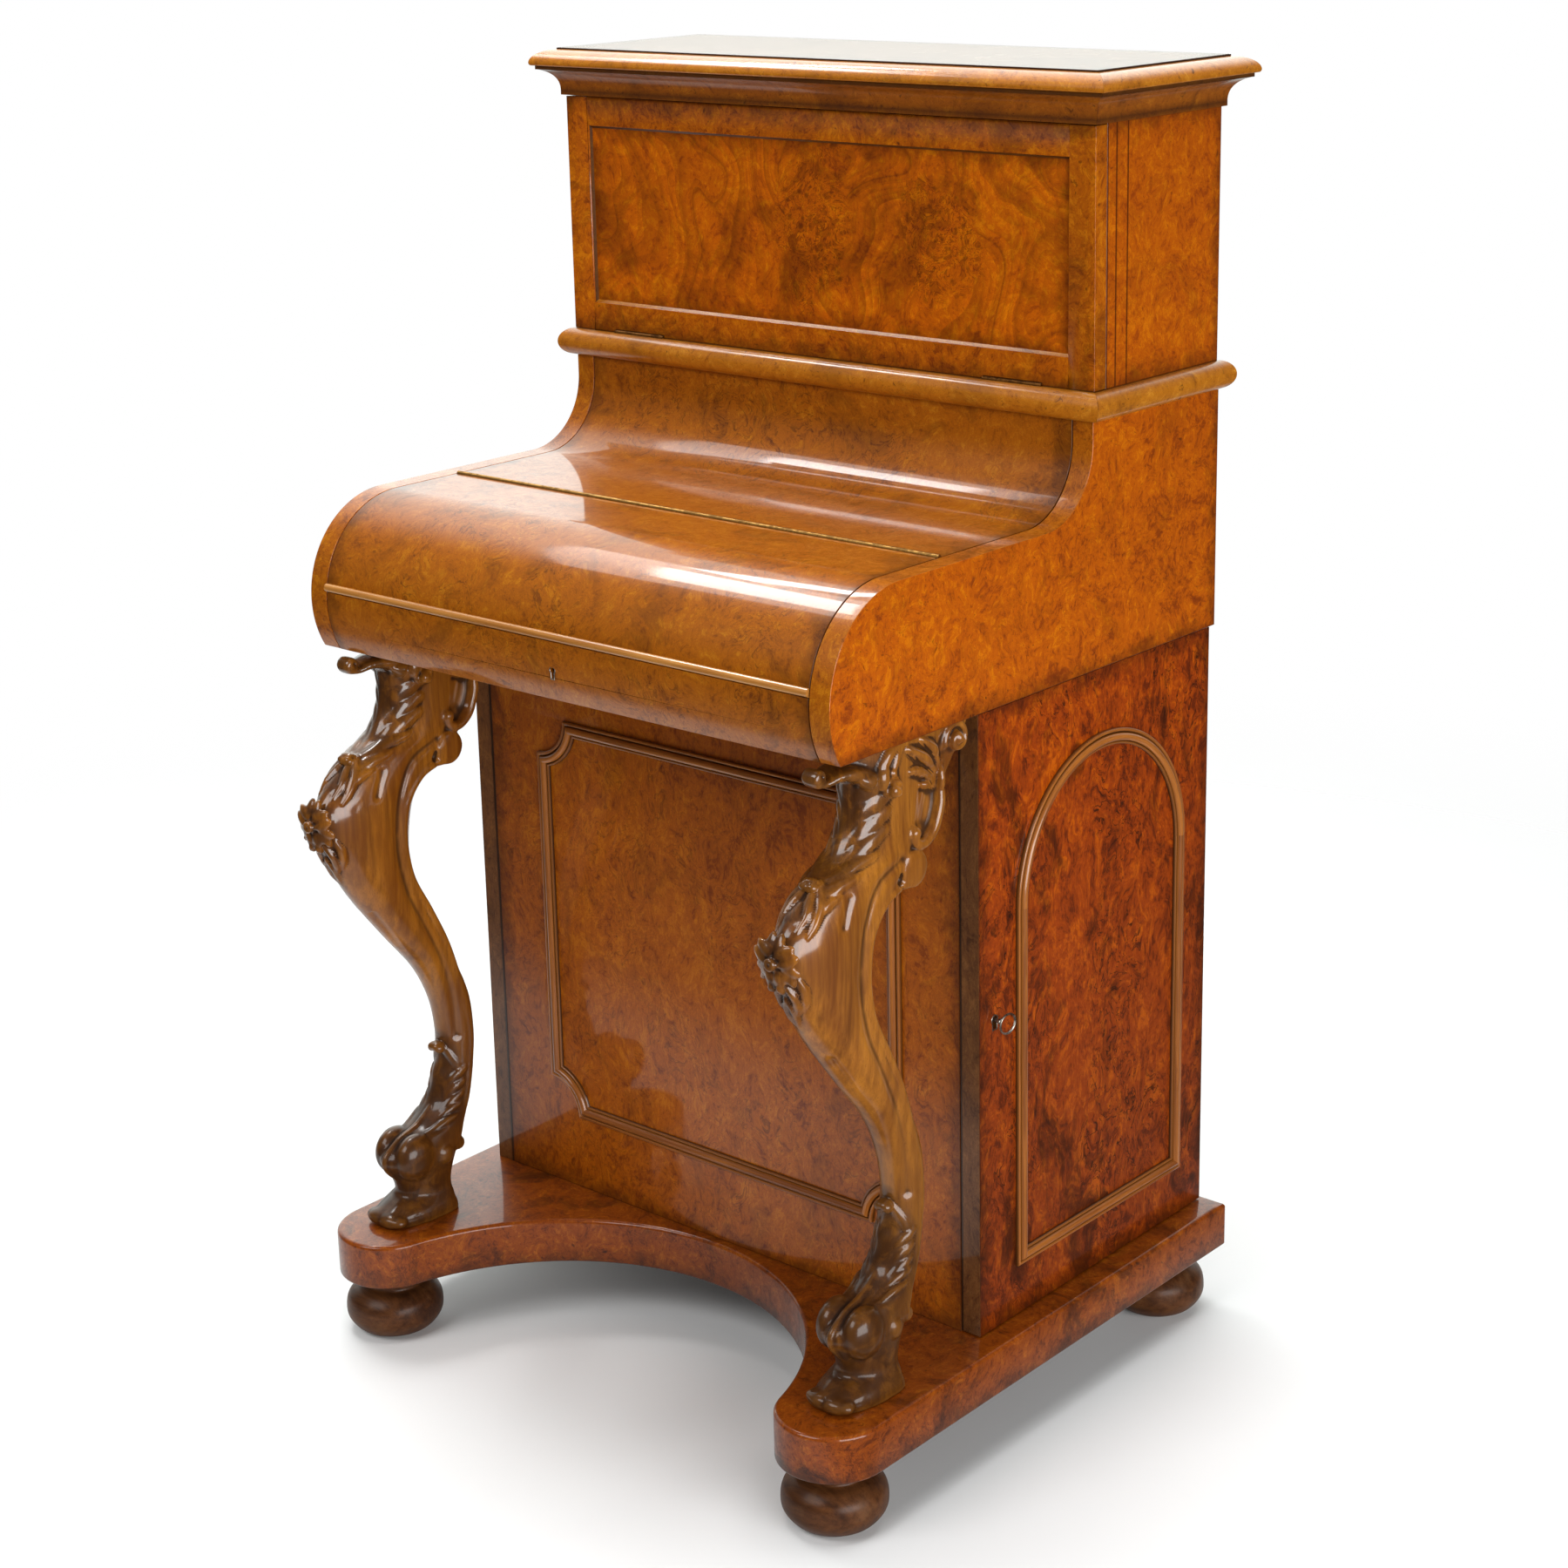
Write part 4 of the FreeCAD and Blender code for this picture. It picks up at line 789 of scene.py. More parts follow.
def bun_feet():
    """Four turned feet: sole, bun, neck and collar in one profile."""
    profile = np.vstack([
        [(1.0, 0.0), (26.0, 0.0)],
        through([(27.0, 0.4), (35.5, 5.0), (42.5, 14.0), (44.0, 23.0), (42.0, 33.0), (35.0, 41.0),
                 (28.0, 44.0)], 40),
        [(27.2, 44.6), (26.8, 46.5), (27.0, 50.0)],
        through([(28.0, 51.0), (31.5, 53.0), (33.6, 55.4), (34.0, 57.9)], 10),
        [(1.0, 57.95)],
    ])
    spots = [(x, y, 0.0) for x in (-x_leg, x_leg) for y in (y_lobe, y_plinth_back - FOOT_REAR_INSET)]
    piece("bun_feet_turned", [lathe(profile, spot) for spot in spots], [foot_walnut],
          nodes=["bun_feet"], sharp=50)


def plinth_outline(inset):
    """The plinth's outline drawn in by inset: two lobes, a hollow tangent to both, straight sides and back."""
    y_hollow = y_plinth_front + PLINTH_HOLLOW_DEPTH
    rise = y_hollow - y_lobe
    hollow = (x_leg ** 2 + rise ** 2 - PLINTH_LOBE ** 2) / (2 * (PLINTH_LOBE + rise))
    centre = y_hollow - hollow
    turn = math.degrees(math.atan2(y_lobe - centre, x_leg))
    lobe = PLINTH_LOBE - inset
    back = y_plinth_back - inset
    right = x_plinth - inset
    side = np.linspace(back, y_lobe, 40)[:-1]
    return np.vstack([
        stacked(right, side),
        arc((x_leg, y_lobe), lobe, 0, turn - 180, 72),
        arc((0, centre), hollow + inset, turn, 180 - turn, 120)[1:-1],
        arc((-x_leg, y_lobe), lobe, -turn, -180, 72),
        stacked(-right, side[::-1]),
        stacked(np.linspace(-right, right, 40)[1:-1], back),
    ])


def plinth():
    """The outline carried up an upright edge with a rounded top and foot arris."""
    foot = arc((PLINTH_FOOT_ARRIS, z_plinth + PLINTH_FOOT_ARRIS), PLINTH_FOOT_ARRIS, 270, 180, 6)
    top = arc((PLINTH_TOP_ARRIS, z_pedestal - PLINTH_TOP_ARRIS), PLINTH_TOP_ARRIS, 180, 90, 9)
    grid = np.stack([stacked(*plinth_outline(inset).T, z) for inset, z in np.vstack([foot, top])])
    piece("plinth_board", [skin(grid)], [burr_plinth], nodes=["plinth"], sharp=40)


# Carved legs

# Height, front, rear and half width of the leg's sections, from its base up.
LEG_ROWS = through([
    (100, -237, -160, 27), (106, -240, -161, 27.5), (112, -237, -163, 26.5), (118, -224, -164, 24),
    (124, -213.5, -165, 22), (138, -216, -164, 23), (160, -229.5, -156, 25), (176, -212, -148, 23.5),
    (184, -188, -145, 22), (200, -168.5, -136, 19.5), (222, -161, -129, 18), (235, -156, -127, 17.8),
    (262, -155, -124.5, 17.5), (297, -161.5, -128, 17.5), (333, -179, -142.5, 18.5), (370, -209, -165, 20.5),
    (411, -241, -184, 22.5), (442, -261, -192, 24), (479, -278, -191, 25.5), (505, -280, -183, 26),
    (524, -268, -165, 26), (546, -240, -150, 26), (560, -215, -140, 24), (580, -202, -132, 22),
    (600, -199, -128, 21.5), (615, -200, -122, 22), (632, -204, -105, 23), (643.6, -207, -90, 23)], 340)


def leg_lines(z):
    """The leg's front, rear, half width and seat, where its rounded front meets its squared rear, at a height."""
    front, rear, half = (np.interp(z, LEG_ROWS[:, 0], LEG_ROWS[:, k]) for k in (1, 2, 3))
    return front, rear, half, rear - LEG_SQUARE_SHARE * (rear - front)


def on_leg(z, turn):
    """The leg's skin: at each height a half ellipse in front of a squared rear, by the angle from the front."""
    front, rear, half, seat = leg_lines(z)
    c, s = np.cos(turn), np.sin(turn)
    power = np.where(c > 0, 1.0, 0.4)
    reach = np.where(c > 0, seat - front, rear - seat)
    x = half * np.sign(s) * np.abs(s) ** power
    return stacked(x, seat - reach * np.sign(c) * np.abs(c) ** power, z)


def girth(z):
    """Millimetres per radian round the leg's front: the mean of its section's two half axes."""
    front, _, half, seat = leg_lines(z)
    return (half + seat - front) / 2


def unrolled(points):
    """Height, and the distance round the leg from the middle of its front, in millimetres."""
    x, y, z = points.T
    front, _, half, seat = leg_lines(z)
    return stacked(z, girth(z) * np.arctan2(np.abs(x) / half, (seat - y) / (seat - front)))


def scroll(points, thick, wide, count=48):
    """A strip across the leg along (depth, height) points, its thickness and half width eased between ends."""
    way = through(points, count)
    share = np.linspace(0, 1, count)
    thick = np.interp(share, np.linspace(0, 1, len(thick)), thick)
    wide = np.interp(share, np.linspace(0, 1, len(wide)), wide)
    return sweep(stacked(0.0, way[:, 0], way[:, 1]), thick, wide)


def volute(centre, start, turns, radius, thick, wide, count=90):
    """A strip wound about centre: its radius shrinks evenly with the angle."""
    turn = np.radians(start) + np.linspace(0, 2 * np.pi * turns, count)
    reach = np.linspace(*radius, count)
    path = stacked(0.0, centre[0] + reach * np.cos(turn), centre[1] + reach * np.sin(turn))
    return sweep(path, np.linspace(*thick, count), np.linspace(*wide, count))


def drum(centre, radius, half):
    """A short round bar across the leg with domed ends."""
    profile = [(0.4, -half), (radius * 0.6, -half + 0.4), (radius - 1.2, -half + 1.6), (radius, -half + 3.4)]
    profile += [(r, -h) for r, h in profile[::-1]]
    return lathe(profile, (0, *centre), axis="x", count=48)


def both_sides(shells):
    """Shells and their reflections across the leg's middle."""
    return shells + [(points * (-1, 1, 1), faces) for points, faces in shells]


def leg_flower():
    """A rosette on the knee: a cushion, six broad cupped petals parted by a vein, and a ringed button."""
    y, z = np.interp(FLOWER_HEIGHT, LEG_ROWS[:, 0], LEG_ROWS[:, 1]), FLOWER_HEIGHT
    shells = [blob((0, y + 10, z), np.diag([14.0, 14.0, 15.0]))]
    for index in range(PETALS):
        turn, back = 2 * math.pi * (index + 0.5) / PETALS, index % 2
        c, s = math.cos(turn), math.sin(turn)
        out = np.array([c, 0.30 + 0.16 * back, s])
        out /= np.linalg.norm(out)
        flat = np.array([-s, 0.0, c])
        petal = np.array(PETAL)[:, None] * np.stack([out, flat, np.cross(flat, out)])
        centre = np.array((14.0 * c, y - 3.2 + 1.8 * back, z + 14.6 * s))
        shells += [blob(centre + 3.9 * lean * flat, petal) for lean in (-1, 1)]
    ring = circle(48)
    reach = BUTTON_RING + BUTTON_WIRE * np.cos(ring[None])
    rim = stacked(reach * np.cos(ring[:, None]), y - 9.6 + BUTTON_WIRE * np.sin(ring[None]),
                  z + reach * np.sin(ring[:, None]))
    button = blob((0, y - 5.0, z), np.diag([5.6, 4.6, 5.6]))
    return shells + [skin(rim, ring_rows=True, caps=False), button]


def foot_lobes():
    """The two bulbs over the ankle, the small one behind each, and the rolled toe."""
    lobes = (((13.5, -203, 161), (14.0, 21.5, 22.0)), ((23.0, -176, 157), (6.0, 9.0, 9.5)),
             ((4.0, -230, 107), (19.0, 10.5, 7.0)))
    return both_sides([blob(centre, np.diag(half)) for centre, half in lobes])


def leg_shells():
    """The right leg about its own middle: body, scrolls, bracket, leaves and flower."""
    z = LEG_ROWS[:, 0][:, None]
    turn = circle(96)[None]
    body = skin(on_leg(z, turn))
    bracket = through([(-72, 643.6), (-74, 636), (-88, 618), (-101, 600), (-104, 585), (-110, 570), (-125, 556),
                       (-142, 546), (-152, 540), (-160, 540)], 60)
    bracket = np.vstack([bracket, [(-160, 643.6)]])
    band = [(-146, 526), (-162, 527), (-180, 521), (-196, 503), (-202, 480), (-201, 456), (-193, 426), (-174, 392),
            (-156, 356), (-143, 318), (-134, 285), (-131, 258), (-134, 232), (-141, 203), (-152, 180), (-160, 162)]
    knee = np.interp(546, LEG_ROWS[:, 0], LEG_ROWS[:, 1])
    shells = [
        body,
        prism(bracket, -20, 20),
        scroll(band, (5, 6.5, 6.5, 6.5, 6, 6, 6, 6, 6, 6, 6.5),
               (25, 27, 27, 26, 23.5, 20.5, 19, 18.6, 18.8, 21, 25), 120),
        drum((-144.5, 538), 15.5, 27.0),
        scroll([(-106, 618), (-110, 606), (-111, 594), (-112, 582), (-119, 565), (-131, 556), (-141, 558),
                (-145, 566)], (4.0, 5.6, 6.6, 7.0, 6.4, 4.6), (23, 26, 28, 28, 28, 27)),
        drum((-143.0, 566.5), 5.4, 28.0),
        volute((-88, 630), 200, -1.35, (14.5, 4.0), (4.8, 2.8), (24, 27)),
        drum((-88, 630), 4.6, 28.5),
        drum((-166.5, 609.5), 6.6, 27.5),
        scroll([(-186, 620), (-202, 627), (-216, 628), (-227, 625), (-234, 625)], (9.0, 6.6, 4.6, 3.2, 2.6),
               (20, 18, 14, 10, 8)),
        volute((-234, 631.0), 270, -1.4, (6.0, 1.8), (2.6, 1.6), (8.0, 9.0)),
        volute((knee - 0.6, 548), 300, -1.2, (4.0, 2.4), (2.2, 1.6), (6, 6.5)),
        drum((-159, 250.5), 4.2, 7.0),
        drum((-156, 160), 6.5, 24.0),
    ]
    return shells + leg_flower() + foot_lobes()


def neighbours_mean(values, edges, count):
    """The mean of each point's neighbours, by adding every edge's two ends to each other."""
    share = np.bincount(edges.ravel(), minlength=count).astype(float)
    a, b = edges.T
    sums = [np.bincount(a, column[b], count) + np.bincount(b, column[a], count) for column in values.T]
    return np.stack(sums, -1) / np.maximum(share, 1)[:, None]


def line_distance(places, line):
    """Each place's distance from a line of points in its plane, and the nearest spot's share of the line."""
    a, span = line[:-1], np.diff(line, axis=0)
    near = places[:, None] - a[None]
    share = np.clip((near * span).sum(-1) / (span * span).sum(-1), 0, 1)
    distance = np.linalg.norm(near - share[..., None] * span, axis=-1)
    nearest = distance.argmin(1)
    rows = np.arange(len(places))
    return distance[rows, nearest], (nearest + share[rows, nearest]) / len(span)


def relief(places, lobes):
    """The highest of several lobes at each place: domes along lines, with their own half widths and lifts."""
    height = np.zeros(len(places))
    for path, width, lift in lobes:
        line = through(path, 24)
        reach = max(width)
        close = np.all((places > line.min(0) - reach) & (places < line.max(0) + reach), axis=1)
        distance, share = line_distance(places[close], line)
        wide = np.interp(share, np.linspace(0, 1, len(width)), width)
        high = np.interp(share, np.linspace(0, 1, len(lift)), lift)
        height[close] = np.maximum(height[close], high * np.clip(1 - (distance / wide) ** 2, 0, 1) ** 0.7)
    return height


def gouges(places, cuts):
    """The depth of several gouges at each place: a bell of the distance from each line."""
    depth = np.zeros(len(places))
    for path, width, deepest in cuts:
        distance, _ = line_distance(places, through(path, 40))
        depth = np.maximum(depth, deepest * np.exp(-(distance / width) ** 2))
    return depth


def leaves(tops, heights, angles, widths, lifts):
    """Equal leaves at several heights, given below each top; a top with an angle of its own ends there."""
    rows = [top if isinstance(top, tuple) else (top, angles[-1]) for top in tops]
    return [([*((top - drop, turn) for drop, turn in zip(heights, angles)), (top, rear)], widths, lifts)
            for top, rear in rows]


def wrapped_lobes():
    """Leaves that wrap the leg's front, as lines of (height, angle), from its shoulder down to its toes."""
    lobes = leaves((577, 591, 606, 621), (20, 9), (0.30, 0.72, 1.10), (4.0, 9.0, 9.0, 6.0), (0.2, 2.4, 3.4, 2.4))
    lobes += leaves(((537, 0.78), (548, 0.92), (560, 1.02)), (10, 4), (0.22, 0.60), (3.4, 7.6, 7.6, 4.6),
                    (0.4, 2.2, 3.0, 2.0))
    lobes += leaves((228, 217, 206), (13, 5), (0.62, 0.98, 1.36), (2.4, 5.0, 5.4, 3.6), (0.3, 1.6, 2.2, 1.4))
    lobes += leaves((197, 187), (6, 2), (0.66, 1.0, 1.40), (2.6, 5.0, 5.0, 3.4), (0.4, 1.8, 2.4, 1.4))
    lobes += [
        ([(547, 0.03), (540, 0.20), (530, 0.38), (521, 0.36)], (3.0, 4.4, 4.6, 2.6), (2.6, 3.6, 3.6, 1.4)),
        ([(548, 0.12), (543, 0.36), (534, 0.56), (523, 0.66), (515, 0.64)], (2.6, 4.0, 4.4, 4.0, 2.4),
         (2.4, 3.4, 3.8, 3.2, 1.4)),
        ([(482, 0.52), (474, 0.58), (464, 0.54), (455, 0.42)], (3.0, 4.6, 4.4, 2.0), (1.6, 3.0, 2.8, 0.8)),
        ([(477, 0.14), (469, 0.30), (459, 0.30), (448, 0.14)], (3.4, 5.2, 4.8, 2.0), (2.0, 3.8, 3.4, 0.8)),
        ([(464, 0.02), (456, 0.12), (447, 0.12), (436, 0.02)], (2.6, 4.4, 4.0, 1.6), (1.6, 3.2, 2.8, 0.6)),
        ([(252, 0.10), (244, 0.50), (233, 0.95), (222, 1.30)], (3.4, 4.0, 3.6, 2.0), (2.4, 1.8, 1.2, 0.5)),
        ([(196, 0.02), (186, 0.05), (172, 0.03), (150, 0.03), (140, 0.02)], (1.8, 2.4, 2.6, 2.4, 1.4),
         (0.8, 1.8, 2.4, 2.2, 0.8)),
    ]
    lobes += [([(126, turn), (116, turn), (103, turn)], (5.0, 9.0, 12.0), (0.1, 0.4, 0.8))
              for turn in (0.32, 0.88, 1.36, 1.75)]
    return lobes


# Where wax and dirt have darkened the leg: domes along lines of (height, angle), with half widths and strengths.
LEG_STAINS = [
    ([(640, 0.3), (600, 0.4), (560, 0.4), (540, 0.3)], (34.0, 30.0, 26.0, 20.0), (1.0, 1.0, 0.9, 0.7)),
    ([(520, 0.0), (480, 0.0), (440, 0.0)], (26.0, 28.0, 10.0), (1.0, 1.0, 0.6)),
    ([(258, 0.1), (200, 0.4), (100, 0.4)], (10.0, 36.0, 90.0), (0.8, 1.0, 1.0)),
]
# Fronds of the scrolls on the leg's flank, as lines of (depth, height).
FLANK_LOBES = [
    ([(-112, 598), (-114, 614), (-121, 630), (-134, 640)], (3.0, 5.0, 5.2, 2.4), (2.0, 6.0, 6.0, 2.5)),
    ([(-114, 598), (-121, 613), (-133, 626), (-150, 636)], (2.6, 4.8, 5.4, 2.6), (2.0, 6.5, 6.5, 3.0)),
    ([(-116, 598), (-126, 609), (-138, 616), (-148, 617)], (2.4, 4.4, 4.4, 2.2), (2.0, 6.0, 5.0, 2.0)),
    ([(-118, 596), (-128, 602), (-134, 603)], (2.0, 3.6, 2.2), (1.5, 5.0, 2.0)),
    ([(-160, 642), (-170, 636), (-177, 624), (-174, 611), (-167, 606)], (3.0, 5.0, 5.6, 5.0, 4.4),
     (1.6, 3.6, 3.8, 3.4, 2.4)),
    ([(-158, 640), (-163, 630), (-166, 621), (-163, 613)], (2.2, 3.6, 3.6, 2.4), (1.2, 2.6, 2.6, 1.4)),
]
# Gouges on the flank: a line, a width and a depth.
FLANK_GOUGES = [
    ([(-160, 550), (-190, 538), (-206, 509), (-211, 477), (-209, 449), (-199, 414), (-182, 382), (-164, 344),
      (-150, 300), (-146, 262)], 4.4, 2.3),
    ([(-222, 535), (-227, 525), (-231, 515)], 3.6, 1.7),
    ([(-233, 404), (-215, 380), (-198, 355), (-184, 330)], 2.2, 2.4),
    ([(-122, 596), (-126, 584), (-130, 572)], 5.0, 1.6),
    ([(-158, 524), (-163, 530), (-161, 537)], 1.6, 2.0),
]


def on_girth(lobes):
    """Lobes with their angles round the leg made distances."""
    return [([(z, girth(z) * turn) for z, turn in path], width, lift) for path, width, lift in lobes]


def read_points(mesh, what):
    """A mesh's positions or normals as rows of three."""
    values = np.empty(len(mesh.vertices) * 3)
    mesh.vertices.foreach_get(what, values)
    return values.reshape(-1, 3)


def leg_mesh():
    """The shells made one skin by voxels, relaxed, carved with leaves and gouges, and marked with its hollows."""
    work = placed_in_scene("leg_work", mesh_of("leg_work", joined(leg_shells())))
    one_skin = work.modifiers.new("one_skin", "REMESH")
    one_skin.mode = "VOXEL"
    one_skin.voxel_size = LEG_VOXEL * MM
    bpy.context.view_layer.update()
    mesh = applied(work)
    count = len(mesh.vertices)
    points, normals = read_points(mesh, "co") / MM, read_points(mesh, "normal")
    edges = np.empty(len(mesh.edges) * 2, np.int32)
    mesh.edges.foreach_get("vertices", edges)
    edges = edges.reshape(-1, 2)
    for _ in range(2):
        points += 0.5 * (neighbours_mean(points, edges, count) - points)
    flank = np.clip(np.abs(normals[:, 0]) * 1.6 - 0.3, 0, 1)
    height = relief(unrolled(points), on_girth(wrapped_lobes()))
    height += flank * (relief(points[:, 1:], FLANK_LOBES) - gouges(points[:, 1:], FLANK_GOUGES))
    points += height[:, None] * normals
    points += 0.3 * (neighbours_mean(points, edges, count) - points)
    lift = ((neighbours_mean(points, edges, count) - points) * normals).sum(1, keepdims=True)
    for _ in range(3):
        lift = neighbours_mean(lift, edges, count)
    hollow = np.clip(0.5 + lift[:, 0] * HOLLOW_GAIN, 0, 1)
    stain = relief(unrolled(points), on_girth(LEG_STAINS))
    mesh.vertices.foreach_set("co", (points * MM).ravel())
    for name, values in (("hollow", hollow), ("stain", stain)):
        mesh.attributes.new(name, "FLOAT", "POINT").data.foreach_set("value", values)
    mesh.update()
    return mesh


def carved_legs():
    """The leg set on the right lobe, and its reflection on the left."""
    right = leg_mesh()
    left = right.copy()
    for side, name, mesh in ((1, "right", right), (-1, "left", left)):
        mesh.transform(Matrix.Translation((side * x_leg * MM, 0, 0)) @ Matrix.Diagonal((side, 1, 1, 1)))
        if side < 0:
            mesh.flip_normals()
        obj = placed_in_scene("leg_carving_" + name, mesh)
        finished(obj, [leg_walnut], "carcass", ["carved_leg_" + name], sharp=180)


# Mouldings

# The two ends of a straight run, as shares of its half length.
BOTH_WAYS = np.array([[-1.0], [1.0]])


def strips(name, parts, material, nodes, body="carcass"):
    """Strips joined into one piece that carries the grain attribute; each part is a shell with its values."""
    obj = piece(name, [shell for shell, _ in parts], [material], body, nodes, sharp=32.0)
    values = np.vstack([marks + (3.1 * index, 0.4 * index, 0) for index, (_, marks) in enumerate(parts)])
    obj.data.attributes.new("grain", "FLOAT_VECTOR", "POINT").data.foreach_set("vector", values.ravel())


def lengths(points):
    """Distance along a line of points from its first, in metres."""
    steps = np.linalg.norm(np.diff(points, axis=0), axis=1)
    return np.concatenate([[0], np.cumsum(steps)]) * MM


def carried(places, section, dirt_and_shade=0.0):
    """A strip from a grid of points (path, section, 3), closed at its ends, and its grain attribute.

    That is the length along the strip, the distance round its section, and its painted shade."""
    length = lengths(places[:, len(section) // 2])[:, None]
    return skin(places), stacked(length, lengths(section)[None], dirt_and_shade).reshape(-1, 3)


def groove_shade(section):
    """Painted shade in a raised moulding's grooves: full at the lowest of its face and none on its beads."""
    return np.clip((GROOVE_SHADE_TOP - section[:, 1]) / (GROOVE_SHADE_TOP - GROOVE_FLOOR), 0, 1)[None] * GROOVE_SHADE


def panel_moulding():
    """Section of the raised mouldings, outer edge first: the higher of three round beads and a floor."""
    u = np.linspace(0, MOULDING_WIDTH, 57)
    v = np.interp(u, *np.transpose(MOULDING_FLOOR))
    for middle, radius, foot, rise in MOULDING_BEADS:
        bead = foot + rise * np.sqrt(np.clip(radius ** 2 - (u - middle) ** 2, 0, None))
        v = np.maximum(v, np.where(np.abs(u - middle) < radius, bead, 0))
    return np.vstack([[(0, 0)], stacked(u, v), [(MOULDING_WIDTH, 0)]])


def front_moulding():
    """The section carried round a rectangle whose corners are cut in by quarter rounds about its outer corners."""
    low, high = box("front_panel_moulding")
    section = panel_moulding()
    dirt_and_shade = groove_shade(section)
    u, v = section.T
    reach = FRONT_CORNER + u
    start, lean = np.sqrt(reach ** 2 - u ** 2), np.arcsin(u / reach)
    turn = lean + (np.pi / 2 - 2 * lean) * np.linspace(0, 1, 25)[:, None]
    half, rise = (high[0] - low[0]) / 2, (high[2] - low[2]) / 2
    middle = (low[2] + high[2]) / 2
    y = (y_pedestal - v)[None]
    corners = [stacked(sx * (half - reach * np.cos(turn)), y, middle + sz * (rise - reach * np.sin(turn)))
               for sx, sz in ((1, 1), (-1, 1), (-1, -1), (1, -1))]
    straights = [run for side in (1, -1) for run in (
        stacked(BOTH_WAYS * (half - start), y, middle + side * (rise - u)),
        stacked(side * (half - u), y, middle + BOTH_WAYS * (rise - start)))]
    parts = [carried(places, section, dirt_and_shade) for places in corners + straights]
    strips("front_moulding_run", parts, moulding_walnut, ["front_panel_moulding"])


def arch_moulding(side, node, body):
    """The section carried round a round-headed outline on the pedestal's side: foot, head and two uprights."""
    low, high = box(node)
    section = panel_moulding()
    u, v = section.T
    radius, centre = (high[1] - low[1]) / 2, (high[1] + low[1]) / 2
    spring = high[2] - radius
    r = radius - u
    x = (side * (x_pedestal + v))[None]
    head = np.linspace(0, np.pi, 73)[:, None]
    runs = [stacked(x, centre + BOTH_WAYS * r, low[2] + u),
            stacked(x, centre + r * np.cos(head), spring + r * np.sin(head))]
    runs += [stacked(x, centre + edge * r, np.stack([low[2] + u, np.full_like(u, spring)])) for edge in (-1, 1)]
    parts = [carried(places, section, groove_shade(section)) for places in runs]
    strips(node + "_run", parts, moulding_walnut, [node], body=body)


def mitred(profile, half_x, y0, y1, dirt_and_shade=0.0):
    """A profile of (outwards, height) carried along four sides of a rectangle, each strip mitred at both ends."""
    out, z = np.asarray(profile, float).T
    middle, half_y = (y0 + y1) / 2, (y1 - y0) / 2
    runs = [run for side in (-1, 1) for run in (
        stacked(BOTH_WAYS * (half_x + out - MITRE_LINE), middle + side * (half_y + out), z),
        stacked(side * (half_x + out), middle + BOTH_WAYS * (half_y + out - MITRE_LINE), z))]
    return [carried(places, profile, dirt_and_shade) for places in runs]


def waist_bead():
    """A half round in four mitred strips, painted in shade where it meets the boards above and below."""
    radius = (z_upper - z_bead) / 2
    half_round = arc((0, z_bead + radius), radius, 90, -90, 40)
    dirt_and_shade = np.abs(np.linspace(-1, 1, 40))[None] ** 8 * 0.8
    strips("waist_bead_run", mitred(half_round, x_upper, y_fall, y_back, dirt_and_shade), cornice_walnut, ["waist_bead"])


def cornice():
    """A foot, a hollow that sags towards the cabinet, and a thumb that ends in a dark step just under the top."""
    t = np.linspace(0, 1, 30)
    foot = np.array((COVE_FOOT_REACH, z_cornice + COVE_FOOT))
    chord = (COVE_LIP_REACH, z_top_board) - foot
    sag = 4 * COVE_SAG * t * (1 - t)
    hollow = foot + chord * t[:, None] + sag[:, None] * np.array((-chord[1], chord[0]))
    cove = np.vstack([[(0, z_cornice), (COVE_FOOT_REACH, z_cornice)], hollow, [(0, z_top_board)]])
    # Painted shade on the hollow's foot and at both ends of its curve.
    dirt_and_shade = np.concatenate([[0.8, 0.4], 0.7 * np.abs(2 * t - 1) ** 4, [0.8]])[None]
    strips("cornice_cove_run", mitred(cove, x_upper, y_fall, y_back, dirt_and_shade), cove_walnut, ["cornice_cove"])
    edge = TOP_FIELD_OVERHANG
    face = through(THUMB_FACE, 40)
    under = [(TOP_JOINT, z_top_board - z_top), (THUMB_FACE[0][0], z_top_board - z_top)]
    step = [(TOP_STEP_WIDTH, -TOP_STEP_RISE), (TOP_STEP_WIDTH, -TOP_JOINT), (TOP_JOINT, -TOP_JOINT)]
    profile = np.vstack([under, face, step]) + (0, z_top)
    # Painted shade on the thumb's underside and the foot of its face, and a dark joint in the step under the top.
    dirt_and_shade = np.concatenate([[0.9, 0.9], 0.8 * np.clip(1 - 10 * np.linspace(0, 1, 40), 0, 1), [1.0, 1.0, 1.0]])[None]
    parts = mitred(profile, x_upper + edge, y_fall - edge, y_back + edge, dirt_and_shade)
    strips("top_edge_run", parts, cornice_walnut, ["top_edge_moulding"])


def fall_slip():
    """A bevelled slip in the corner between the fall's frame and its sunk panel, on all four sides, painted in
    shade most on its left and head.
    """
    low, high = box("fall_panel")
    rim = (low[1] + y_fall) / 2
    profile = [(0, -rim), (-FALL_SLIP, -low[1]), (0, -low[1])]
    runs = zip(mitred(profile, high[0], low[2], high[2]), FALL_SLIP_SHADE)
    parts = [((stacked(points[:, 0], -points[:, 2], points[:, 1]), faces), marks + (0, 0, dirt_and_shade))
             for ((points, faces), marks), dirt_and_shade in runs]
    strips("fall_frame_slip", parts, cornice_walnut, [], "fall_front")


# Writing case

def nose_turn(z, radius=NOSE_RADIUS):
    """Angle on the nose's circle at a height, on its front side."""
    return 180 - math.degrees(math.asin((z - z_nose_centre) / radius))


def y_on_nose(z):
    """Depth of the nose's front at a height."""
    return y_nose_centre - math.sqrt(NOSE_RADIUS ** 2 - (z - z_nose_centre) ** 2)


def groove_turn(y):
    """Angle on the hinge groove's circle where it meets a board's edge at depth y, below the flat."""
    away = y - y_hinge
    return math.degrees(math.atan2(-math.sqrt(KNUCKLE_ROOM ** 2 - away ** 2), away))


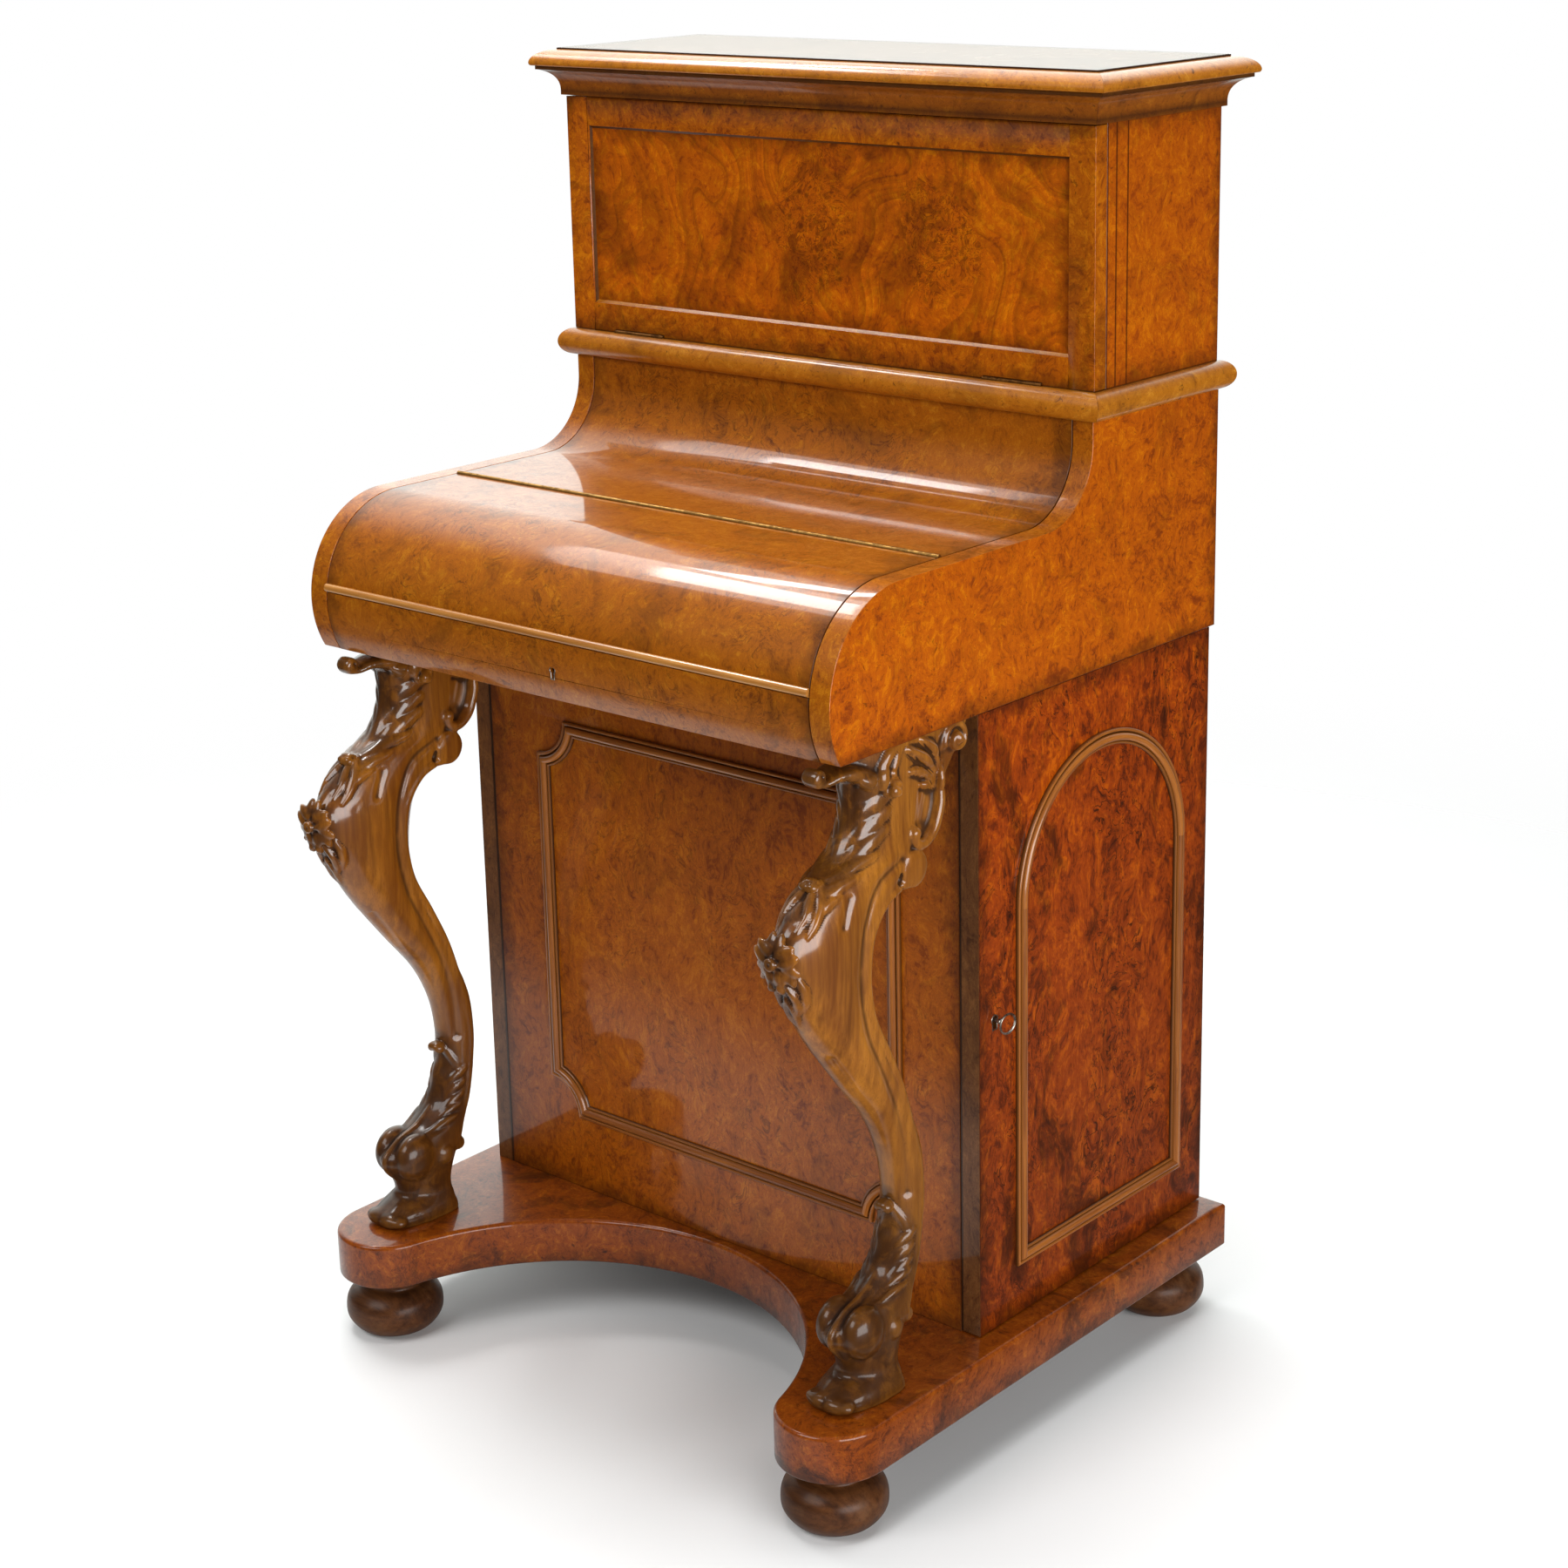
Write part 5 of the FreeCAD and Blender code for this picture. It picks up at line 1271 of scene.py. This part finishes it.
def cheeks():
    """The S outline: nose, level top, hollow and upright, as a prism with the edge in crossbanding."""
    outline = np.vstack([
        [(y_cheek_back, z_case)],
        arc(nose_centre, NOSE_RADIUS, nose_turn(z_case), 90, 110),
        arc(cove_centre, COVE_RADIUS, -90, 0, 64),
        [(y_fall, z_bead), (y_cheek_back, z_bead)],
    ])
    for side, name in ((-1, "left"), (1, "right")):
        shell = prism(outline, side * x_case, side * x_desk)
        piece("cheek_board_" + name, [shell], [burr_case, crossband], nodes=["cheek_" + name],
              bevel=0.7, rim=len(outline))


def lid():
    """The bent lid: nose arc outside and inside, a groove for the hinge's knuckles and the bolt's pocket."""
    inner = NOSE_RADIUS - LID_THICKNESS
    outline = np.vstack([
        arc((y_hinge, z_flat), KNUCKLE_ROOM, groove_turn(y_lid_rear), -180, 6),
        arc(nose_centre, NOSE_RADIUS, 90, nose_turn(z_lid_edge), 96),
        arc(nose_centre, inner, nose_turn(z_lid_edge, inner), 90, 72),
        [(y_lid_rear, z_flat - LID_THICKNESS)],
    ])
    low, high = box("lid_lock_bolt")
    pocket = block((*(low[:2] - BOLT_ROOM), z_lid_edge - 4), (*(high[:2] + BOLT_ROOM), z_lid_edge + 8))
    obj = placed_in_scene("lid_shell", cut(prism(outline, -x_lid, x_lid), [pocket]))
    finished(obj, [burr_lid], "lid", ["lid"], bevel=0.45)
    turn = circle(40)
    z = z_lid_edge + LIP_RADIUS
    bead = stacked(y_on_nose(z) + LIP_RADIUS * np.cos(turn), z + LIP_RADIUS * np.sin(turn))
    parts = [carried(stacked(BOTH_WAYS * x_lid, *bead.T), bead)]
    strips("lid_lip_run", parts, lip_walnut, ["lid_lip"], body="lid")


def hood():
    """The fixed top: level, a hollow and an upright, with a groove for the hinge's knuckles."""
    outer = COVE_RADIUS + HOOD_THICKNESS
    outline = np.vstack([
        arc((y_hinge, z_flat), KNUCKLE_ROOM, groove_turn(y_hood_front), 0, 6),
        arc(cove_centre, COVE_RADIUS, -90, 0, 80),
        [(y_fall, z_bead), (y_fall + HOOD_THICKNESS, z_bead)],
        arc(cove_centre, outer, 0, -90, 48),
        [(y_hood_front, z_flat - HOOD_THICKNESS)],
    ])
    shell = prism(outline, -x_inside, x_inside)
    piece("hood_shell", [shell], [burr_lid], nodes=["hood"], bevel=0.45)


def keyhole_outline(radius, slot, half, count=24):
    """A round hole over a slot, as (across, up) about the round's centre."""
    lean = math.degrees(math.asin(half / radius))
    return np.vstack([arc((0, 0), radius, -90 + lean, 270 - lean, count), [(-half, -slot), (half, -slot)]])


def front_rail():
    """The fixed lower part of the nose, with the lock's mortise and keyhole."""
    outline = np.vstack([
        arc(nose_centre, NOSE_RADIUS, nose_turn(z_rail), nose_turn(z_case), 48),
        [(y_rail_back, z_case), (y_rail_back, z_rail)],
    ])
    low, high = box("lid_lock_case")
    mortise = block(low, (high[0], high[1] + 4, high[2] + 4))
    z_hole = z_rail - RAIL_KEYHOLE_DROP
    across, up = keyhole_outline(*RAIL_KEYHOLE).T
    hole = skin(stacked(across, np.array([[y_nose - 4], [y_rail_back]]), z_hole + up))
    obj = placed_in_scene("front_rail_shell", cut(prism(outline, -x_inside, x_inside), [mortise, hole]))
    finished(obj, [burr_lid], "carcass", ["front_rail"], bevel=0.35)
    keyhole_rim("rail_keyhole_rim", RAIL_KEYHOLE, "y", (0.0, y_on_nose(z_hole), z_hole), "carcass")


def keyhole_rim(name, sizes, axis, centre, body):
    """A thin metal thread round a keyhole: a small round section carried along its outline."""
    turn = circle(10)
    rings = np.stack([keyhole_outline(*(np.array(sizes) + grown)) for grown in 0.55 + 0.5 * np.cos(turn)], 1)
    across, up, lift = rings[..., 0], rings[..., 1], 0.45 * np.sin(turn)
    points = stacked(across, -lift, up) if axis == "y" else stacked(lift, across, up)
    piece(name, [skin(points + np.asarray(centre), ring_rows=True, caps=False)], [steel], body)


def door_key():
    """A leaning oval bow of round wire, a collar, a shank and a bit, turned and swept about the key's own axis."""
    low, high = box("door_key")
    y, z = (low[1] + high[1]) / 2, high[2] - KEY_DROP
    ring = circle(64)[:, None]
    wire = circle(16)[None]
    c, s = math.cos(math.radians(KEY_LEAN)), math.sin(math.radians(KEY_LEAN))
    x_bow = high[0] - KEY_BOW_WIDE - KEY_WIRE
    swell, across = KEY_WIRE * np.cos(wire), KEY_WIRE * np.sin(wire)
    up = (KEY_BOW_TALL + swell) * np.sin(ring)
    hoop = stacked(x_bow + (KEY_BOW_WIDE + swell) * np.cos(ring), y + up * s - across * c, z + up * c + across * s)
    x_neck = x_bow - KEY_BOW_WIDE
    x_collar = x_neck - 2.0
    shank = [(0.2, low[0]), (1.7, low[0] + 0.1), (1.7, x_collar - 0.4), (2.0, x_collar - 0.2),
             (2.4, x_collar + 0.3), (2.5, x_collar + 0.9), (2.3, x_collar + 1.4), (1.7, x_collar + 1.8),
             (1.2, x_neck), (0.2, x_neck)]
    bit = block((low[0], y - 1.0, z - 6.0), (low[0] + 4.8, y + 1.0, z))
    shells = [skin(hoop, ring_rows=True, caps=False), lathe(shank, (0, y, z), axis="x", count=32), bit]
    piece("key", shells, [steel], "door_key", ["door_key"])
    keyhole_rim("door_keyhole_rim", DOOR_KEYHOLE, "x", (x_pedestal, y, z), "side_door")


# Everything in place

bun_feet()
plinth()
carved_legs()
front_moulding()
arch_moulding(1, "door_arch_moulding", "side_door")
arch_moulding(-1, "left_arch_moulding", "carcass")
waist_bead()
cornice()
fall_slip()
cheeks()
lid()
hood()
front_rail()
door_key()

BOARDS = {
    "front_panel": burr_front, "left_side_panel": burr_door, "side_door": burr_door, "fall_frame": burr_frame,
    "fall_panel": burr_fall, "upper_side_left": burr_upper, "upper_side_right": burr_upper, "top_board": burr_top,
    "waist_board": carcass_walnut, "upper_top": carcass_walnut, "pedestal_back": carcass_walnut,
    "case_back": carcass_walnut, "upper_back": carcass_walnut, "pedestal_floor": drawer_wood,
    "pedestal_top": drawer_wood, "drawer_dividers": drawer_wood, "case_bottom": shelf_wood,
    "slide_runners": drawer_wood, "writing_slide": shelf_wood, "pigeonhole_shelf": shelf_wood,
    "pigeonhole_dividers": carcass_walnut,
}
METALS = {
    brass: "door_hinge_case_leaves door_hinge_door_leaves door_lock_strike door_lock_case lid_lock_case",
    dark_brass: "lid_hinge_hood_leaf lid_hinge_lid_leaf", steel: "door_lock_bolt lid_lock_bolt",
    brown_brass: "fall_hinge_fall_leaves fall_hinge_board_leaves",
}
for board, wood in BOARDS.items():
    dressed(board, wood, front=post_walnut if wood is burr_door else None)
for number in (1, 2, 3, 4):
    dressed("drawer_%d_front" % number, carcass_walnut)
    dressed("drawer_%d_box" % number, drawer_wood, 0.3)
dressed("writing_leather", leather, 0.5)
for metal, nodes in METALS.items():
    for node in nodes.split():
        frame["nodes"][node].data.materials.clear()
        frame["nodes"][node].data.materials.append(metal)


# Stage

def studio_floor():
    """A pale round floor that fades into the white room.

    Polish mirrors it as a dim grey, but for a pale strip before the legs."""
    turn = circle(128)[None]
    radius = np.array([10.0, 800.0, 1600.0, 2600.0])[:, None]
    points = stacked(radius * np.cos(turn), radius * np.sin(turn), -0.2).reshape(-1, 3)
    shell = points, quads(4, 128, ring_columns=True) + [list(range(128))]
    obj = placed_in_scene("studio_floor", mesh_of("studio_floor", shell))
    material, shader = blank("floor_paper", Roughness=0.9, Specular_IOR_Level=0.1)
    place = here(shader)
    paper = blended(noise(place, 3.0), colour(231, 231, 231), colour(236, 236, 236))
    strip = times(spread(part(place, "X"), 0.45, 0.3), spread(part(place, "Y"), -0.72, -0.46))
    dim = blended(strip, colour(58, 52, 46), colour(200, 200, 200))
    mirrored = add(shader.id_data, "ShaderNodeLightPath").outputs["Is Glossy Ray"]
    away = vectors("LENGTH", place, out="Value")
    feed(shader, Base_Color=blended(mirrored, paper, dim), Alpha=spread(away, 0.7, 2.2, 1.0, 0.0))
    obj.data.materials.append(material)


def set_up(name, data, axes, place):
    """A light or a camera at a place, with its right, up and back axes."""
    obj = placed_in_scene(name, data)
    turn = np.eye(4)
    turn[:3, :3] = np.stack(axes, 1)
    turn[:3, 3] = place
    obj.matrix_world = Matrix(turn)
    return obj


def softbox(name, place, aim, size, power, mirrored=True):
    """A rectangular area light at place, facing aim, in metres and watts, that polish mirrors or not."""
    light = bpy.data.lights.new(name, "AREA")
    light.shape = "RECTANGLE"
    light.size, light.size_y = size
    light.energy = power
    back = np.subtract(place, aim) / np.linalg.norm(np.subtract(place, aim))
    right = np.cross((0, 0, 1), back)
    right /= np.linalg.norm(right)
    set_up(name, light, (right, np.cross(back, right), back), place).visible_glossy = mirrored


def studio_light():
    """A room that is white to the eye and bright behind on the left, with softboxes for streaks, key and fill."""
    world = bpy.data.worlds.new("studio")
    world.use_nodes = True
    tree = world.node_tree
    way = add(tree, "ShaderNodeTexCoord").outputs["Generated"]
    lean = vectors("DOT_PRODUCT", way, (-0.655, 0.695, 0.296), "Value")
    glow = times(spread(lean, 0.45, 0.97, 0.07, 2.0), spread(part(way, "Z"), 0.04, 0.17, 0.5, 1.0))
    seen = add(tree, "ShaderNodeLightPath").outputs["Is Camera Ray"]
    feed(tree.nodes["Background"], Color=blended(seen, (0.93, 1.0, 0.97, 1.0), (1.0, 1.0, 1.0, 1.0)),
         Strength=maths("MAXIMUM", glow, seen))
    bpy.context.scene.world = world
    softbox("streak_box", (-1.36, -0.05, 2.6), (0.0, 0.0, 0.8), (0.5, 0.34), 9.0)
    softbox("soft_box", (-1.42, -0.05, 2.6), (0.0, 0.0, 0.8), (0.95, 0.6), 9.0)
    softbox("thin_box", (-1.3, 0.62, 2.5), (0.0, 0.0, 0.8), (0.6, 0.12), 6.0)
    softbox("over_box", (0.1, 0.2, 3.4), (0.0, 0.0, 0.0), (2.2, 2.2), 85.0, mirrored=False)
    softbox("key_box", (-0.6, -3.0, 3.0), (0.0, 0.0, 0.6), (2.4, 1.5), 70.0)
    softbox("fill_box", (2.6, -0.8, 0.75), (0.0, 0.0, 0.6), (2.2, 1.4), 75.0)


def photo_camera():
    """The photograph's camera: yaw about Z, then pitch, then roll, with a small lens shift."""
    yaw, pitch, roll = np.radians((40.589, 15.69, -1.154))
    ahead = np.array((-np.sin(yaw) * np.cos(pitch), np.cos(yaw) * np.cos(pitch), -np.sin(pitch)))
    right = np.array((np.cos(yaw), np.sin(yaw), 0.0))
    up = np.cross(right, ahead)
    axes = (np.cos(roll) * right + np.sin(roll) * up, -np.sin(roll) * right + np.cos(roll) * up, -ahead)
    camera = bpy.data.cameras.new("photo_camera")
    camera.lens, camera.sensor_width = 67.74, 36.0
    camera.shift_x, camera.shift_y = -0.01726, -0.07804
    bpy.context.scene.camera = set_up("photo_camera", camera, axes, (1.6310, -1.8321, 1.3119))


studio_floor()
studio_light()
photo_camera()
bpy.context.scene.view_settings.view_transform = "Standard"
